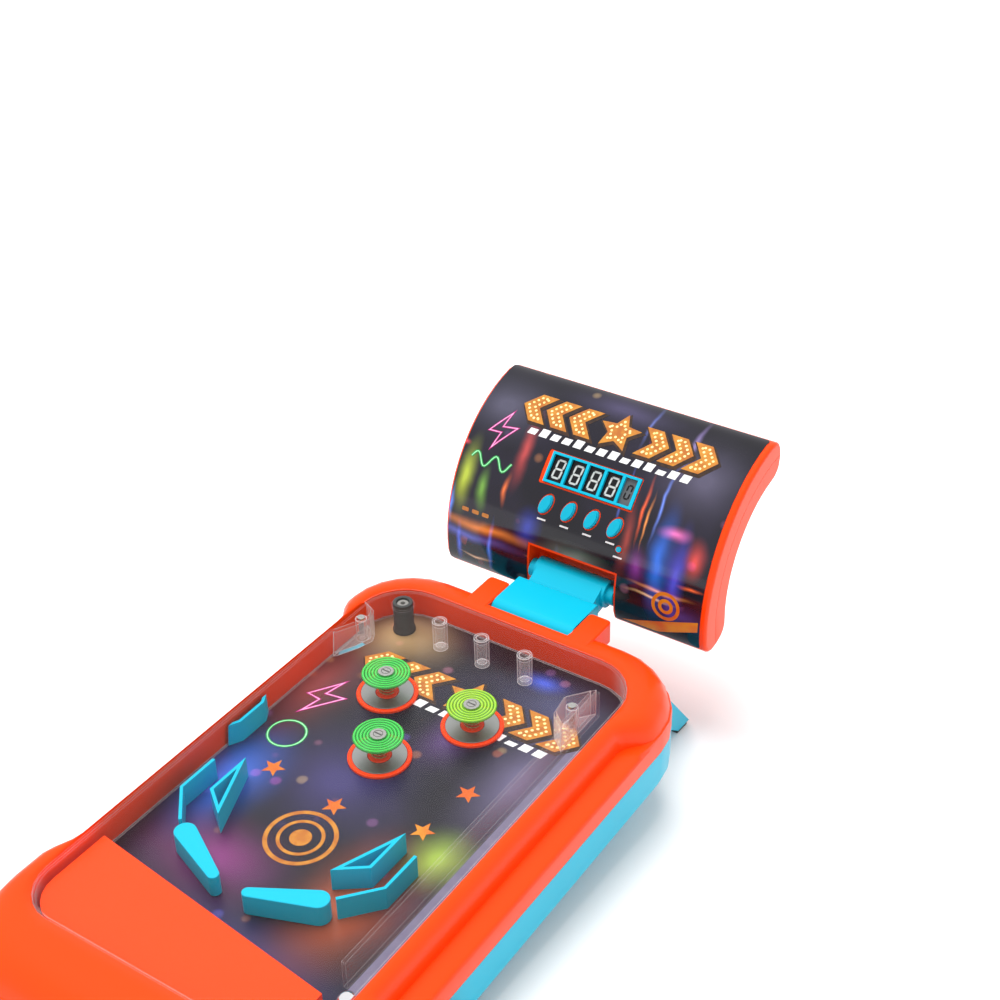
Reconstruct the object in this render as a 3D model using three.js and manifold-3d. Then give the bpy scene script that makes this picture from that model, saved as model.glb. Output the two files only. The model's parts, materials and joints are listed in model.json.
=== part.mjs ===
// Tabletop pinball game, in millimetres
// The deck group is the frame of the playing surface: x right, y back, z up from the surface.
// The deck leans forward on its legs, and the whole game stands on the plane z = 0.
import * as THREE from 'three';
import { mergeVertices } from 'three/addons/utils/BufferGeometryUtils.js';
import Module from 'manifold-3d';

const wasm = await Module();
wasm.setup();

// Shared clearances and counts
const gap = 0.3;
const overrun = 6;
const weldDistance = 0.0001;
const roundSides = 18;
const smallSides = 12;
const cornerSteps = 6;
const smallCornerSteps = 3;

// Stance
const deckTiltDegrees = 4.5;

// Body outline, seen from above
const bodyWidth = 218;
const bodyLength = 375;
const bodyBackY = 43;
const bodyFrontY = bodyBackY - bodyLength;
const bodyCornerRadius = 46;
const baseDepth = 34;
const partingDepth = 8;
const shellWall = 2.4;

// Opening of the playfield
const rimWidthLeft = 15.3;
const rimWidthRight = 23.7;
const rimWidthBack = 22.6;
const rimWidthFront = 40;
const playLeftX = rimWidthLeft - bodyWidth / 2;
const playRightX = bodyWidth / 2 - rimWidthRight;
const playBackY = bodyBackY - rimWidthBack;
const playFrontY = bodyFrontY + rimWidthFront;
const playBackCornerRadius = 30;
const playFrontCornerRadius = 24;
const panelThickness = 2.4;
const guideHeight = 14;
const guideWall = 1.8;

// Lane of the ball, along the right wall
const laneInset = 8;
const laneHalfWidth = 9.3;
const laneX = playRightX - laneInset;
const dividerX = laneX - laneHalfWidth;

// Rim of the top frame
const rimHeight = 20.5;
const rimTopClearance = 0.5;
const rimFootClearance = 1.5;
const rimSideSlope = 1.2;
const shoulderHeight = 5;
const shoulderRound = 2.4;
const shoulderShare = 0.8;
const waistDepth = 11.8;
const waistBackInset = 53;
const waistFrontInset = 70;
const waistBackY = bodyBackY - waistBackInset;
const waistFrontY = bodyFrontY + waistFrontInset;
const waistBlend = 20;
const waistStationShares = [0, 0.3, 0.7, 1];
const crestShares = [
  [0, 0.91], [0.08, 0.97], [0.2, 1], [0.45, 0.98], [0.65, 0.905], [0.82, 0.76], [0.94, 0.54], [1, 0.27],
];
const hollowReachShare = 0.6;

// Lugs and fold hinge of the link
const lugInnerWidth = 56.3;
const lugWidth = 15.15;
const lugBackY = 53.9;
const lugRootY = 25;
const lugFootHeight = 5.5;
const lugCornerRadius = 3;
const lugEdgeRound = 0.8;
const foldAxisY = 38;
const foldAxisZ = 11;
const foldKnuckleRadius = 9.5;
const hingePinRadius = 2;
const pinEndSkin = 3.5;
const knuckleClearance = 0.4;
const notchFloorZ = -0.5;
const solidBackHalfWidth = 50;

// Link arm
const linkBackY = 63.5;
const linkUnderZ = 4;
const linkBackRound = 2;
const linkSkin = 2.6;
const neckHalfWidth = 23;
const neckRootZ = 17.4;
const neckUnderZ = 4.6;
const neckCreaseY = 66;
const neckTopTouchDegrees = 118;
const neckUnderTouchDegrees = 250;
const barrelHalfWidth = 25;
const barrelRadius = 8.8;
const bossRadius = 6;

// Score panel: two concentric arcs about the bend axis
const headWidth = 186.6;
const headFrontRadius = 89.6;
const headThickness = 26.8;
const headPartingDepth = 12.6;
const headBackRadius = headFrontRadius - headThickness;
const headPartingRadius = headFrontRadius - headPartingDepth;
const headFootDegrees = -15.2;
const headTopDegrees = 90;
const headFrontRound = 14;
const headBackRound = 12;
const headEdgeRound = 2.2;
const headWall = 2.2;
const headArcSteps = 15;
const headCornerSteps = 4;
const headCylinderSides = 72;
const tiltAxisY = 81.5;
const tiltAxisZ = 15.5;
const tiltPinRadius = 1.6;
const tiltDepth = 4.4;
const bendAxisRise = 1.6;
const bendAxisY = tiltAxisY + headFrontRadius - tiltDepth;
const bendAxisZ = tiltAxisZ + bendAxisRise;
const pocketHalfWidth = 30.4;
const pocketDepth = 20.1;
const pocketBackRadius = headFrontRadius - pocketDepth;
const pocketTopDegrees = 10.6;
const pocketSideWall = 5;

// Display, keys and works of the score panel
const displayDegrees = 43.4;
const bezelWidth = 61.9;
const bezelHeight = 19.6;
const bezelThickness = 2;
const bezelProud = 0.8;
const bezelBorder = 1.5;
const digitCount = 4;
const digitWindowWidth = 10.6;
const smallWindowWidth = 8.3;
const windowBar = 1.9;
const displayMargin = 1;
const displayDepth = 7;
const boardThickness = 1.6;
const boardDepth = 18.6;
const boardDistance = headFrontRadius - boardDepth;
const boardRise = 12.5;
const boardDrop = 33;
const boardPostRadius = 3;
const boardPostInset = 4;
const keyRowDegrees = 28.8;
const keyCount = 4;
const keyPitch = 16.2;
const keyLength = 13.1;
const keyWidth = 7.2;
const keySlantDegrees = 23;
const keyProud = 2.4;
const keyRound = 0.7;
const keySteps = 7;
const keyFlange = 1.4;
const keyFlangeThickness = 1.2;
const keyStemRadius = 1.8;
const keyTravel = 1.2;
const resetDegrees = 21.3;
const resetX = 30;
const resetRadius = 1.7;
const resetProud = 0.8;
const speakerRadius = 14;
const speakerDepth = 7;
const speakerInset = 31.3;
const speakerX = headWidth / 2 - speakerInset;
const speakerDegrees = 42;
const speakerSlotCount = 5;
const speakerSlotWidth = 1.8;
const speakerSlotPitch = 4.2;
const boardSideClearance = 6;
const boardWidth = 2 * (speakerX - speakerRadius - boardSideClearance);
const headScrewInset = 11.3;
const headScrewX = headWidth / 2 - headScrewInset;
const headScrewRadius = 3;
const headScrewShank = 1.5;
const headScrewDepth = 1.1;
const headScrewLowDegrees = 4;
const headScrewHighDegrees = 74;

// Clear cover
const coverHeight = 19.5;
const coverPlate = 1.6;
const coverSkirt = 1.5;
const coverFootOutset = 1;
const postRadius = 4.55;
const postBoreRadius = 3;
const postHeight = 19.8;
const postPitch = 30;
const postRowShare = 0.447;
const postRowX = THREE.MathUtils.lerp(playLeftX, playRightX, postRowShare);
const postCount = 3;
const recessFloor = 1.5;
const recessWall = 1.3;
const recessBossRadius = 3.6;
const recessBossBore = 1.7;
const recessBossDrop = 3;
const dividerThickness = 2.4;
const dividerBackInset = 24.4;
const dividerFrontInset = 56;
const dividerBackY = playBackY - dividerBackInset;
const dividerFrontY = playFrontY + dividerFrontInset;

// Corners of the moulded guides, as shares of the play opening from its back left corner
const deflectorLeftShares = [
  [-0.01, 0.206], [0.015, 0.193], [0.051, 0.152], [0.067, 0.12], [0.049, 0.099], [-0.01, 0.083],
];
const deflectorLeftBossShares = [0.034, 0.128];
const deflectorRightShares = [[0.8945, 0.075], [0.828, 0.124], [0.841, 0.171], [0.8945, 0.197]];
const deflectorRightBossShares = [0.868, 0.134];
const slingShares = [[0.149, 0.542], [0.149, 0.635], [0.241, 0.674]];
const sideGuideShares = [[-0.01, 0.375], [0.028, 0.411], [0.028, 0.475], [-0.01, 0.515]];
const inlaneGuideShares = [[0.072, 0.575], [0.072, 0.657], [0.162, 0.717]];

// Rubber-sleeved post
const sleeveSideInset = 21.2;
const sleeveBackInset = 17.9;
const sleeveX = playLeftX + sleeveSideInset;
const sleeveY = playBackY - sleeveBackInset;
const sleeveRadius = 6.2;
const sleeveFootRadius = 6.9;
const sleeveFootHeight = 1.8;
const sleeveHeight = 21.3;
const sleeveBore = 3.9;
const sleeveCoreDrop = 1.2;
const sleeveCoreBore = 1.4;

// Bumpers
const bumperPlaceShares = [[0.274, 0.232], [0.598, 0.225], [0.436, 0.379]];
const bumperBaseRadius = 18;
const bumperBaseFloor = 0.9;
const bumperRimWidth = 2.4;
const bumperRimHeight = 2;
const bumperBossRadius = 6.6;
const bumperBossHeight = 2.4;
const bumperPlateThickness = 0.6;
const bumperDiscRadius = 14.3;
const bumperDiscTop = 16.6;
const bumperDiscThickness = 1.8;
const bumperRidgeCount = 2;
const bumperRidgeHeight = 0.35;
const bumperStemRadius = 2.2;
const bumperStemFoot = 5;
const bumperCollarRadius = 5.6;
const bumperCollarThickness = 1.7;
const bumperCapRadius = 4.6;
const bumperCapThickness = 0.6;
const bumperSlot = 0.9;
const bumperCoilRadius = 4.5;
const bumperCoilWire = 0.5;
const bumperCoilCurls = 4;

// Flippers and their side buttons
const flipperRootRadius = 6;
const flipperTipRadius = 3.2;
const flipperSideClearance = 30.5;
const drainHalfWidth = 8.17;
const flipperFrontInset = 84;
const flipperUnder = 0.5;
const flipperTop = 13.5;
const flipperRestDegrees = -25;
const flipperPivotY = playFrontY + flipperFrontInset;
const flipperCentreX = (playLeftX + dividerX - dividerThickness / 2) / 2;
const flipperPivotOffset = flipperCentreX - playLeftX - flipperRootRadius - flipperSideClearance;
const flipperTipOffset = drainHalfWidth + flipperTipRadius;
const flipperReach = (flipperPivotOffset - flipperTipOffset) / Math.cos(THREE.MathUtils.degToRad(flipperRestDegrees));
const shaftRadius = 3;
const shaftClearance = 0.4;
const crankTop = -12;
const crankThickness = 3;
const crankHubRadius = 5.6;
const crankThrow = 7.1;
const crankPinRadius = 1.6;
const crankPinDrop = 7;
const crankWidth = 5;
const buttonAxisZ = -19;
const buttonAxisInset = 6.75;
const buttonAxisY = flipperPivotY - buttonAxisInset;
const buttonRadius = 8.7;
const buttonProud = 7.5;
const buttonRound = 1.2;
const buttonFlangeRadius = 10.3;
const buttonFlangeThickness = 2;
const buttonTravel = 6;
const buttonStemRadius = 3;
const buttonStemLength = 7;
const pushBarThickness = 3;
const pushBarWidth = 8.4;
const pushBarSlotHalfLength = 2.3;
const pushBarEnd = 2.4;
const guideRibThickness = 2;
const guideRibHalfWidth = 9;
const guideRibInset = 22;
const guideRibX = bodyWidth / 2 - guideRibInset;
const buttonCoilRadius = 5.6;
const buttonCoilWire = 0.5;
const buttonCoilCurls = 4;

// Plunger and ball
const ballRadius = 5.5;
const plungerTipInset = 40;
const plungerTipLength = 6;
const plungerTipY = playFrontY + plungerTipInset;
const plungerRodRadius = 2.5;
const plungerCollarY = plungerTipY - plungerTipLength;
const plungerCollarRadius = 5;
const plungerCollarThickness = 2;
const plungerTravel = 18;
const knobRadius = 9;
const knobNeckRadius = 5;
const knobLength = 17;
const knobSocketDepth = 9;
const bushRadius = 5.2;
const bushFlangeRadius = 8;
const bushFlangeThickness = 2;
const bushSeatDepth = 5;
const bushInset = 0.4;
const bushSeatY = bodyFrontY + bushSeatDepth;
const bushInnerY = playFrontY - bushInset;
const plungerCoilRadius = 3.95;
const plungerCoilWire = 0.45;
const plungerCoilCurls = 6;

// Apron below the flippers
const apronLeftInset = 60;
const apronRightInset = 39.5;
const apronLeftY = playFrontY + apronLeftInset;
const apronRightY = playFrontY + apronRightInset;
const apronHeight = 12.5;
const apronWall = 2;
const apronSetback = 1.4;

// Posts under the playfield and screw wells
const panelPostRadius = 4;
const panelPostShares = [[0.13, 0.13], [0.86, 0.13], [0.45, 0.545], [0.09, 0.9], [0.8, 0.9]];
const screwPostRadius = 5;
const screwWellRadius = 3.4;
const screwWellDepth = 16;
const screwShank = 1.5;
const screwPostShares = [
  [0.04, 0.41], [0.96, 0.41], [0.115, 0.05], [0.885, 0.05], [0.115, 0.946], [0.76, 0.957],
];

// Battery bay
const bayBackInset = 113;
const bayCentreY = bodyBackY - bayBackInset;
const bayHalfLength = 28;
const bayHalfWidth = 15.6;
const bayDepth = 17.6;
const cellRadius = 7.1;
const cellLength = 50;
const cellNubRadius = 2.6;
const cellNubLength = 1.2;
const doorThickness = 2;
const doorRibThickness = 1.6;
const doorRibX = 14;
const doorNotchRadius = 5;

// Legs and feet
const legSideInset = 29.7;
const legOuterX = bodyWidth / 2 - legSideInset;
const legWidth = 12;
const legTopY = 46.5;
const legTopZ = -9.5;
const legFootY = 90;
const legFootLength = 14;
const legRootY = 34;
const legRootZ = -31;
const legSkin = 2.2;
const padThickness = 3;
const padMargin = 1;
const footRadius = 8;
const footSideInset = 25;
const footFrontInset = 22;
const footX = bodyWidth / 2 - footSideInset;
const footY = bodyFrontY + footFrontInset;
const footThickness = 3;

// Colours
const orangePlastic = { color: 0xff4b14, roughness: 0.32, metalness: 0 };
const cyanPlastic = { color: 0x23d7fa, roughness: 0.35, metalness: 0 };
const clearPlastic = { color: 0xe8ecee, roughness: 0.08, metalness: 0, transparent: true, opacity: 0.35 };
const printedBoard = { color: 0x2b2638, roughness: 0.25, metalness: 0 };
const blackRubber = { color: 0x1d1d1f, roughness: 0.85, metalness: 0 };
const blackPlastic = { color: 0x141416, roughness: 0.4, metalness: 0 };
const greyPlastic = { color: 0xb9b6b0, roughness: 0.4, metalness: 0 };
const steel = { color: 0xc9ccd0, roughness: 0.22, metalness: 1 };
const springBrass = { color: 0xc08a4a, roughness: 0.3, metalness: 1 };
const greenPlastic = { color: 0x46e650, roughness: 0.2, metalness: 0 };
const limePlastic = { color: 0xaaf028, roughness: 0.2, metalness: 0 };
const boardGreen = { color: 0x1c6b3a, roughness: 0.5, metalness: 0 };
const cellJacket = { color: 0x303338, roughness: 0.35, metalness: 0.6 };

const radians = THREE.MathUtils.degToRad;
const tilt = radians(deckTiltDegrees);

// Places worked out from the tables of shares
function playPoint([across, along]) {
  return [
    THREE.MathUtils.lerp(playLeftX, playRightX, across), THREE.MathUtils.lerp(playBackY, playFrontY, along),
  ];
}
function bodyPoint([across, along]) {
  return [(across - 0.5) * bodyWidth, THREE.MathUtils.lerp(bodyBackY, bodyFrontY, along)];
}
function placeOf([x, y]) {
  return { x, y };
}
const bumperPlaces = bumperPlaceShares.map(playPoint).map(placeOf);
const panelPosts = panelPostShares.map(playPoint).map(placeOf);
const screwPosts = screwPostShares.map(bodyPoint).map(placeOf);
const slingCorners = slingShares.map(playPoint);
const inlaneGuidePath = inlaneGuideShares.map(playPoint);

// Mesh and solid helpers

function solidOf(geometry) {
  const bare = geometry.clone();
  for (const name of Object.keys(bare.attributes)) {
    if (name !== 'position') bare.deleteAttribute(name);
  }
  const welded = mergeVertices(bare, weldDistance);
  const corners = welded.index.array;
  const positions = welded.attributes.position.array;
  const faces = [];
  let volume = 0;
  const [a, b, c] = [new THREE.Vector3(), new THREE.Vector3(), new THREE.Vector3()];
  for (let k = 0; k < corners.length; k += 3) {
    const [i, j, m] = [corners[k], corners[k + 1], corners[k + 2]];
    if (i === j || j === m || m === i) continue;
    faces.push(i, j, m);
    a.fromArray(positions, 3 * i);
    b.fromArray(positions, 3 * j);
    c.fromArray(positions, 3 * m);
    volume += a.dot(b.cross(c));
  }
  if (volume < 0) faces.reverse();
  return new wasm.Manifold(new wasm.Mesh({
    numProp: 3,
    vertProperties: Float32Array.from(positions),
    triVerts: Uint32Array.from(faces),
  }));
}

function geometryOf(body) {
  const mesh = body.getMesh();
  const geometry = new THREE.BufferGeometry();
  geometry.setAttribute('position', new THREE.BufferAttribute(Float32Array.from(mesh.vertProperties), 3));
  geometry.setIndex(new THREE.BufferAttribute(Uint32Array.from(mesh.triVerts), 1));
  geometry.computeVertexNormals();
  return geometry;
}

function union(bodies) {
  return bodies.reduce((sum, body) => sum.add(body));
}

function cut(body, tools) {
  return tools.reduce((rest, tool) => rest.subtract(tool), body);
}

// The shape's own u, v and depth run along y, z and x
const sideways = new THREE.Matrix4().set(0, 0, 1, 0, 1, 0, 0, 0, 0, 1, 0, 0, 0, 0, 0, 1);

function block(x0, x1, y0, y1, z0, z1) {
  const geometry = new THREE.BoxGeometry(x1 - x0, y1 - y0, z1 - z0);
  return solidOf(geometry.translate((x0 + x1) / 2, (y0 + y1) / 2, (z0 + z1) / 2));
}

function rodX(x0, x1, y, z, radius, sides = roundSides) {
  const geometry = new THREE.CylinderGeometry(radius, radius, x1 - x0, sides).rotateZ(Math.PI / 2);
  return solidOf(geometry.translate((x0 + x1) / 2, y, z));
}

function rodY(y0, y1, x, z, radius, sides = roundSides) {
  const geometry = new THREE.CylinderGeometry(radius, radius, y1 - y0, sides);
  return solidOf(geometry.translate(x, (y0 + y1) / 2, z));
}

function rodZ(x, y, z0, z1, radius, sides = roundSides) {
  const geometry = new THREE.CylinderGeometry(radius, radius, z1 - z0, sides).rotateX(Math.PI / 2);
  return solidOf(geometry.translate(x, y, (z0 + z1) / 2));
}

function shapeOf(points) {
  return new THREE.Shape(points.map(([u, v]) => new THREE.Vector2(u, v)));
}

function prismZ(shape, z0, z1, edgeRound = 0, curveSegments = smallCornerSteps) {
  const geometry = new THREE.ExtrudeGeometry(shape, {
    depth: z1 - z0 - 2 * edgeRound,
    curveSegments,
    bevelEnabled: edgeRound > 0,
    bevelSize: edgeRound,
    bevelThickness: edgeRound,
    bevelOffset: -edgeRound,
    bevelSegments: 1,
  });
  return solidOf(geometry.translate(0, 0, z0 + edgeRound));
}

function prismX(shape, x0, x1, edgeRound = 0, curveSegments = cornerSteps) {
  const geometry = new THREE.ExtrudeGeometry(shape, {
    depth: x1 - x0 - 2 * edgeRound,
    curveSegments,
    bevelEnabled: edgeRound > 0,
    bevelSize: edgeRound,
    bevelThickness: edgeRound,
    bevelOffset: -edgeRound,
    bevelSegments: 2,
  });
  return solidOf(geometry.translate(0, 0, x0 + edgeRound).applyMatrix4(sideways));
}

// A turned piece on the vertical line through x and y, from a closed list of radius and height
function turned(profile, x, y, sides = roundSides) {
  const points = profile.map(([radius, height]) => new THREE.Vector2(radius, height));
  const geometry = new THREE.LatheGeometry([...points, points[0]], sides).rotateX(Math.PI / 2);
  return solidOf(geometry.translate(x, y, 0));
}

function indexedSolid(points, faces) {
  const geometry = new THREE.BufferGeometry();
  geometry.setAttribute('position', new THREE.Float32BufferAttribute(points.flatMap((p) => p.toArray()), 3));
  geometry.setIndex(faces);
  return solidOf(geometry);
}

// A solid skinned over closed rings of like count, flat at both ends
function loft(rings) {
  const count = rings[0].length;
  const faces = [];
  for (let k = 0; k + 1 < rings.length; k += 1) {
    for (let i = 0; i < count; i += 1) {
      const j = (i + 1) % count;
      const [low, high] = [k * count, (k + 1) * count];
      faces.push(low + i, low + j, high + j, low + i, high + j, high + i);
    }
  }
  const flat = rings[0].map((p) => new THREE.Vector2(p.x, p.y));
  const caps = THREE.ShapeUtils.triangulateShape(flat, []);
  const top = (rings.length - 1) * count;
  for (const [i, j, m] of caps) {
    faces.push(m, j, i, top + i, top + j, top + m);
  }
  return indexedSolid(rings.flat(), faces);
}

// A closed ring-shaped solid swept through sections of like count
function ringLoft(sections) {
  const count = sections[0].length;
  const faces = [];
  sections.forEach((section, k) => {
    const [here, next] = [k * count, ((k + 1) % sections.length) * count];
    for (let i = 0; i < count; i += 1) {
      const j = (i + 1) % count;
      faces.push(here + i, here + j, next + j, here + i, next + j, next + i);
    }
  });
  return indexedSolid(sections.flat(), faces);
}

// Rounded outline in stations that match between loops, counter-clockwise from above
function outline(loop, outset, sideYs = [], endXs = []) {
  const points = [];
  const corner = (x, y, radius, start) => {
    for (let k = 0; k <= cornerSteps; k += 1) {
      const angle = start + (k / cornerSteps) * (Math.PI / 2);
      points.push(new THREE.Vector2(
        x + (radius + outset) * Math.cos(angle), y + (radius + outset) * Math.sin(angle)));
    }
  };
  const { left, right, front, back, backRadius, frontRadius } = loop;
  for (const y of [...sideYs].reverse()) points.push(new THREE.Vector2(right + outset, y));
  corner(right - backRadius, back - backRadius, backRadius, 0);
  for (const x of [...endXs].reverse()) points.push(new THREE.Vector2(x, back + outset));
  corner(left + backRadius, back - backRadius, backRadius, Math.PI / 2);
  for (const y of sideYs) points.push(new THREE.Vector2(left - outset, y));
  corner(left + frontRadius, front + frontRadius, frontRadius, Math.PI);
  for (const x of endXs) points.push(new THREE.Vector2(x, front - outset));
  corner(right - frontRadius, front + frontRadius, frontRadius, 1.5 * Math.PI);
  return points;
}

function ringAt(loop, outset, z) {
  return outline(loop, outset).map((p) => new THREE.Vector3(p.x, p.y, z));
}

// One unbroken round wire wound along z, with its least gap to itself measured on its points
function coil(label, meanRadius, wireRadius, length, curls) {
  const stepsPerCurl = 8;
  const wireSides = 5;
  const steps = Math.round(curls * stepsPerCurl);
  const rise = length - 2 * wireRadius;
  const centres = [];
  for (let k = 0; k <= steps; k += 1) {
    const angle = (k / stepsPerCurl) * 2 * Math.PI;
    centres.push(new THREE.Vector3(
      meanRadius * Math.cos(angle), meanRadius * Math.sin(angle), wireRadius + (rise * k) / steps));
  }
  let least = Infinity;
  centres.forEach((p, i) => centres.slice(i + stepsPerCurl / 2).forEach((q) => {
    least = Math.min(least, p.distanceTo(q) - 2 * wireRadius);
  }));
  console.log(`${label}: least gap of the wire to itself ${least.toFixed(2)} mm`);
  const points = [];
  centres.forEach((centre, k) => {
    const before = centres[Math.max(k - 1, 0)];
    const after = centres[Math.min(k + 1, steps)];
    const along = after.clone().sub(before).normalize();
    const outward = new THREE.Vector3(centre.x, centre.y, 0).normalize();
    const across = along.clone().cross(outward).normalize();
    for (let s = 0; s < wireSides; s += 1) {
      const angle = (s / wireSides) * 2 * Math.PI;
      points.push(centre.clone()
        .addScaledVector(outward, wireRadius * Math.cos(angle))
        .addScaledVector(across, wireRadius * Math.sin(angle)));
    }
  });
  const faces = [];
  for (let k = 0; k < steps; k += 1) {
    for (let s = 0; s < wireSides; s += 1) {
      const t = (s + 1) % wireSides;
      const [here, next] = [k * wireSides, (k + 1) * wireSides];
      faces.push(here + s, here + t, next + t, here + s, next + t, next + s);
    }
  }
  for (let s = 1; s + 1 < wireSides; s += 1) {
    const last = steps * wireSides;
    faces.push(0, s + 1, s, last, last + s, last + s + 1);
  }
  return indexedSolid(points, faces);
}

// Moves corners inward by a wall, for an outline whose corners all turn the same way
function insetCorners(corners, wall) {
  const turn = Math.sign(THREE.ShapeUtils.area(corners.map(([x, y]) => new THREE.Vector2(x, y))));
  const count = corners.length;
  return corners.map(([x, y], k) => {
    const [px, py] = corners[(k + count - 1) % count];
    const [nx, ny] = corners[(k + 1) % count];
    const before = new THREE.Vector2(x - px, y - py).normalize();
    const after = new THREE.Vector2(nx - x, ny - y).normalize();
    const mitre = new THREE.Vector2(-before.y - after.y, before.x + after.x).multiplyScalar(turn);
    const half = mitre.dot(new THREE.Vector2(-before.y, before.x).multiplyScalar(turn));
    return [x + (mitre.x * wall) / half, y + (mitre.y * wall) / half];
  });
}

// A wall of even thickness that follows a path, seen from above
function stripShape(path, wall) {
  const sides = [-wall / 2, wall / 2].map((offset) => path.map(([x, y], k) => {
    const [px, py] = path[Math.max(k - 1, 0)];
    const [nx, ny] = path[Math.min(k + 1, path.length - 1)];
    const before = new THREE.Vector2(x - px, y - py).normalize();
    const after = new THREE.Vector2(nx - x, ny - y).normalize();
    const along = before.add(after).normalize();
    return [x - along.y * offset, y + along.x * offset];
  }));
  return shapeOf([...sides[0], ...sides[1].reverse()]);
}

const bodyLoop = {
  left: -bodyWidth / 2,
  right: bodyWidth / 2,
  front: bodyFrontY,
  back: bodyBackY,
  backRadius: bodyCornerRadius,
  frontRadius: bodyCornerRadius,
};
const playLoop = {
  left: playLeftX,
  right: playRightX,
  front: playFrontY,
  back: playBackY,
  backRadius: playBackCornerRadius,
  frontRadius: playFrontCornerRadius,
};

// The lane meets the rounded front corner of the opening behind this line
const laneWallY = playFrontY + playFrontCornerRadius;

// Floor plane, written in the deck's own frame
const footBottomZ = -baseDepth - gap - footThickness;
function floorZ(y) {
  return footBottomZ - (y - footY) * Math.tan(tilt);
}
function belowFloor() {
  const reach = bodyWidth;
  const slab = new THREE.BoxGeometry(3 * reach, 5 * reach, reach).translate(0, 0, -reach / 2);
  return solidOf(slab.rotateX(-tilt).translate(0, footY, footBottomZ));
}

// Top frame

function waistAt(y) {
  const fromBack = THREE.MathUtils.smoothstep(waistBackY - y, 0, waistBlend);
  const fromFront = THREE.MathUtils.smoothstep(y - waistFrontY, 0, waistBlend);
  return waistDepth * fromBack * fromFront;
}

function frameStations() {
  const backYs = waistStationShares.map((share) => waistBackY - share * waistBlend);
  const frontYs = waistStationShares.map((share) => waistFrontY + share * waistBlend).reverse();
  return [...backYs, ...frontYs];
}

function frameSections(build) {
  const sideYs = frameStations();
  const foot = outline(playLoop, rimFootClearance, sideYs);
  const top = outline(playLoop, rimTopClearance, sideYs);
  const upper = outline(bodyLoop, -rimSideSlope, sideYs);
  const lower = outline(bodyLoop, 0, sideYs);
  return foot.map((innerFoot, k) => {
    const draw = waistAt(lower[k].y);
    const crestEdge = new THREE.Vector2(upper[k].x - Math.sign(upper[k].x) * draw, upper[k].y);
    return build(innerFoot, top[k], crestEdge, lower[k], draw);
  });
}

function at(point, z) {
  return new THREE.Vector3(point.x, point.y, z);
}

function frameRing() {
  return ringLoft(frameSections((innerFoot, innerTop, crestEdge, outer) => [
    at(innerFoot, -partingDepth),
    at(innerFoot, 0),
    ...crestShares.map(([across, rise]) => at(innerTop.clone().lerp(crestEdge, across), rise * rimHeight)),
    at(crestEdge.clone().lerp(outer, shoulderShare), shoulderHeight),
    at(outer, shoulderHeight - shoulderRound),
    at(outer, -partingDepth),
  ]));
}

// The moulded frame is hollow from below, deep under the wide bead and shallow under the waist
function frameHollow() {
  const low = shoulderHeight - shoulderRound - shellWall;
  const high = rimHeight - 1.5 * shellWall;
  const hollow = ringLoft(frameSections((innerFoot, innerTop, crestEdge, outer, draw) => {
    const top = THREE.MathUtils.lerp(high, low, Math.min(1, (2 * draw) / waistDepth));
    const across = outer.clone().sub(innerFoot);
    const width = across.length();
    across.normalize();
    const start = innerFoot.clone().addScaledVector(across, shellWall);
    const reach = Math.max(2 * shellWall, hollowReachShare * width);
    return [
      at(start, -partingDepth - overrun),
      at(start, top),
      at(innerFoot.clone().addScaledVector(across, reach), top),
      at(innerFoot.clone().addScaledVector(across, width - shellWall), low),
      at(innerFoot.clone().addScaledVector(across, width - shellWall), -partingDepth - overrun),
    ];
  }));
  const solidBack = block(
    -solidBackHalfWidth, solidBackHalfWidth, 0, bodyBackY, -partingDepth - 2 * overrun, rimHeight);
  const bushHalf = bushFlangeRadius + shellWall;
  const solidBush = block(
    laneX - bushHalf, laneX + bushHalf, bodyFrontY, laneWallY, -partingDepth - 2 * overrun, rimHeight);
  return cut(hollow, [solidBack, solidBush]);
}

function lugShape(x0, x1) {
  const r = lugCornerRadius;
  const shape = new THREE.Shape();
  shape.moveTo(x0, lugRootY);
  shape.lineTo(x1, lugRootY);
  shape.lineTo(x1, lugBackY - r);
  shape.absarc(x1 - r, lugBackY - r, r, 0, Math.PI / 2);
  shape.lineTo(x0 + r, lugBackY);
  shape.absarc(x0 + r, lugBackY - r, r, Math.PI / 2, Math.PI);
  return shape;
}

function makeTopFrame() {
  const inner = lugInnerWidth / 2;
  const outer = inner + lugWidth;
  const lugs = [[-outer, -inner], [inner, outer]].map(
    ([x0, x1]) => prismZ(lugShape(x0, x1), lugFootHeight, rimHeight, lugEdgeRound));
  const knuckleRoom = foldKnuckleRadius + knuckleClearance;
  const notch = [
    rodX(-inner, inner, foldAxisY, foldAxisZ, knuckleRoom),
    block(-inner, inner, foldAxisY - knuckleRoom, lugBackY + overrun, foldAxisZ, rimHeight + overrun),
    block(-inner, inner, foldAxisY, lugBackY + overrun, notchFloorZ, foldAxisZ),
  ];
  const pinBore = rodX(
    -outer - overrun, outer - pinEndSkin, foldAxisY, foldAxisZ, hingePinRadius + gap, smallSides);
  const bushBore = rodY(bodyFrontY - overrun, laneWallY, laneX, ballRadius + gap, bushRadius + gap);
  const bushSeat = rodY(bodyFrontY - overrun, bushSeatY, laneX, ballRadius + gap, bushFlangeRadius + gap);
  const ring = cut(frameRing(), [frameHollow()]);
  return cut(union([ring, ...lugs]), [...notch, pinBore, bushBore, bushSeat]);
}

// Base shell, with its posts, guide ribs and battery bay

const baseTopZ = -partingDepth - gap;
const baseFloorZ = -baseDepth + shellWall;

function baseOuter(outset = 0) {
  const round = 2 * shellWall;
  return loft([
    ringAt(bodyLoop, outset - round, -baseDepth - outset),
    ringAt(bodyLoop, outset - round / 4, -baseDepth - outset + round / 4),
    ringAt(bodyLoop, outset, -baseDepth - outset + round),
    ringAt(bodyLoop, outset, baseTopZ + outset),
  ]);
}

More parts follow.
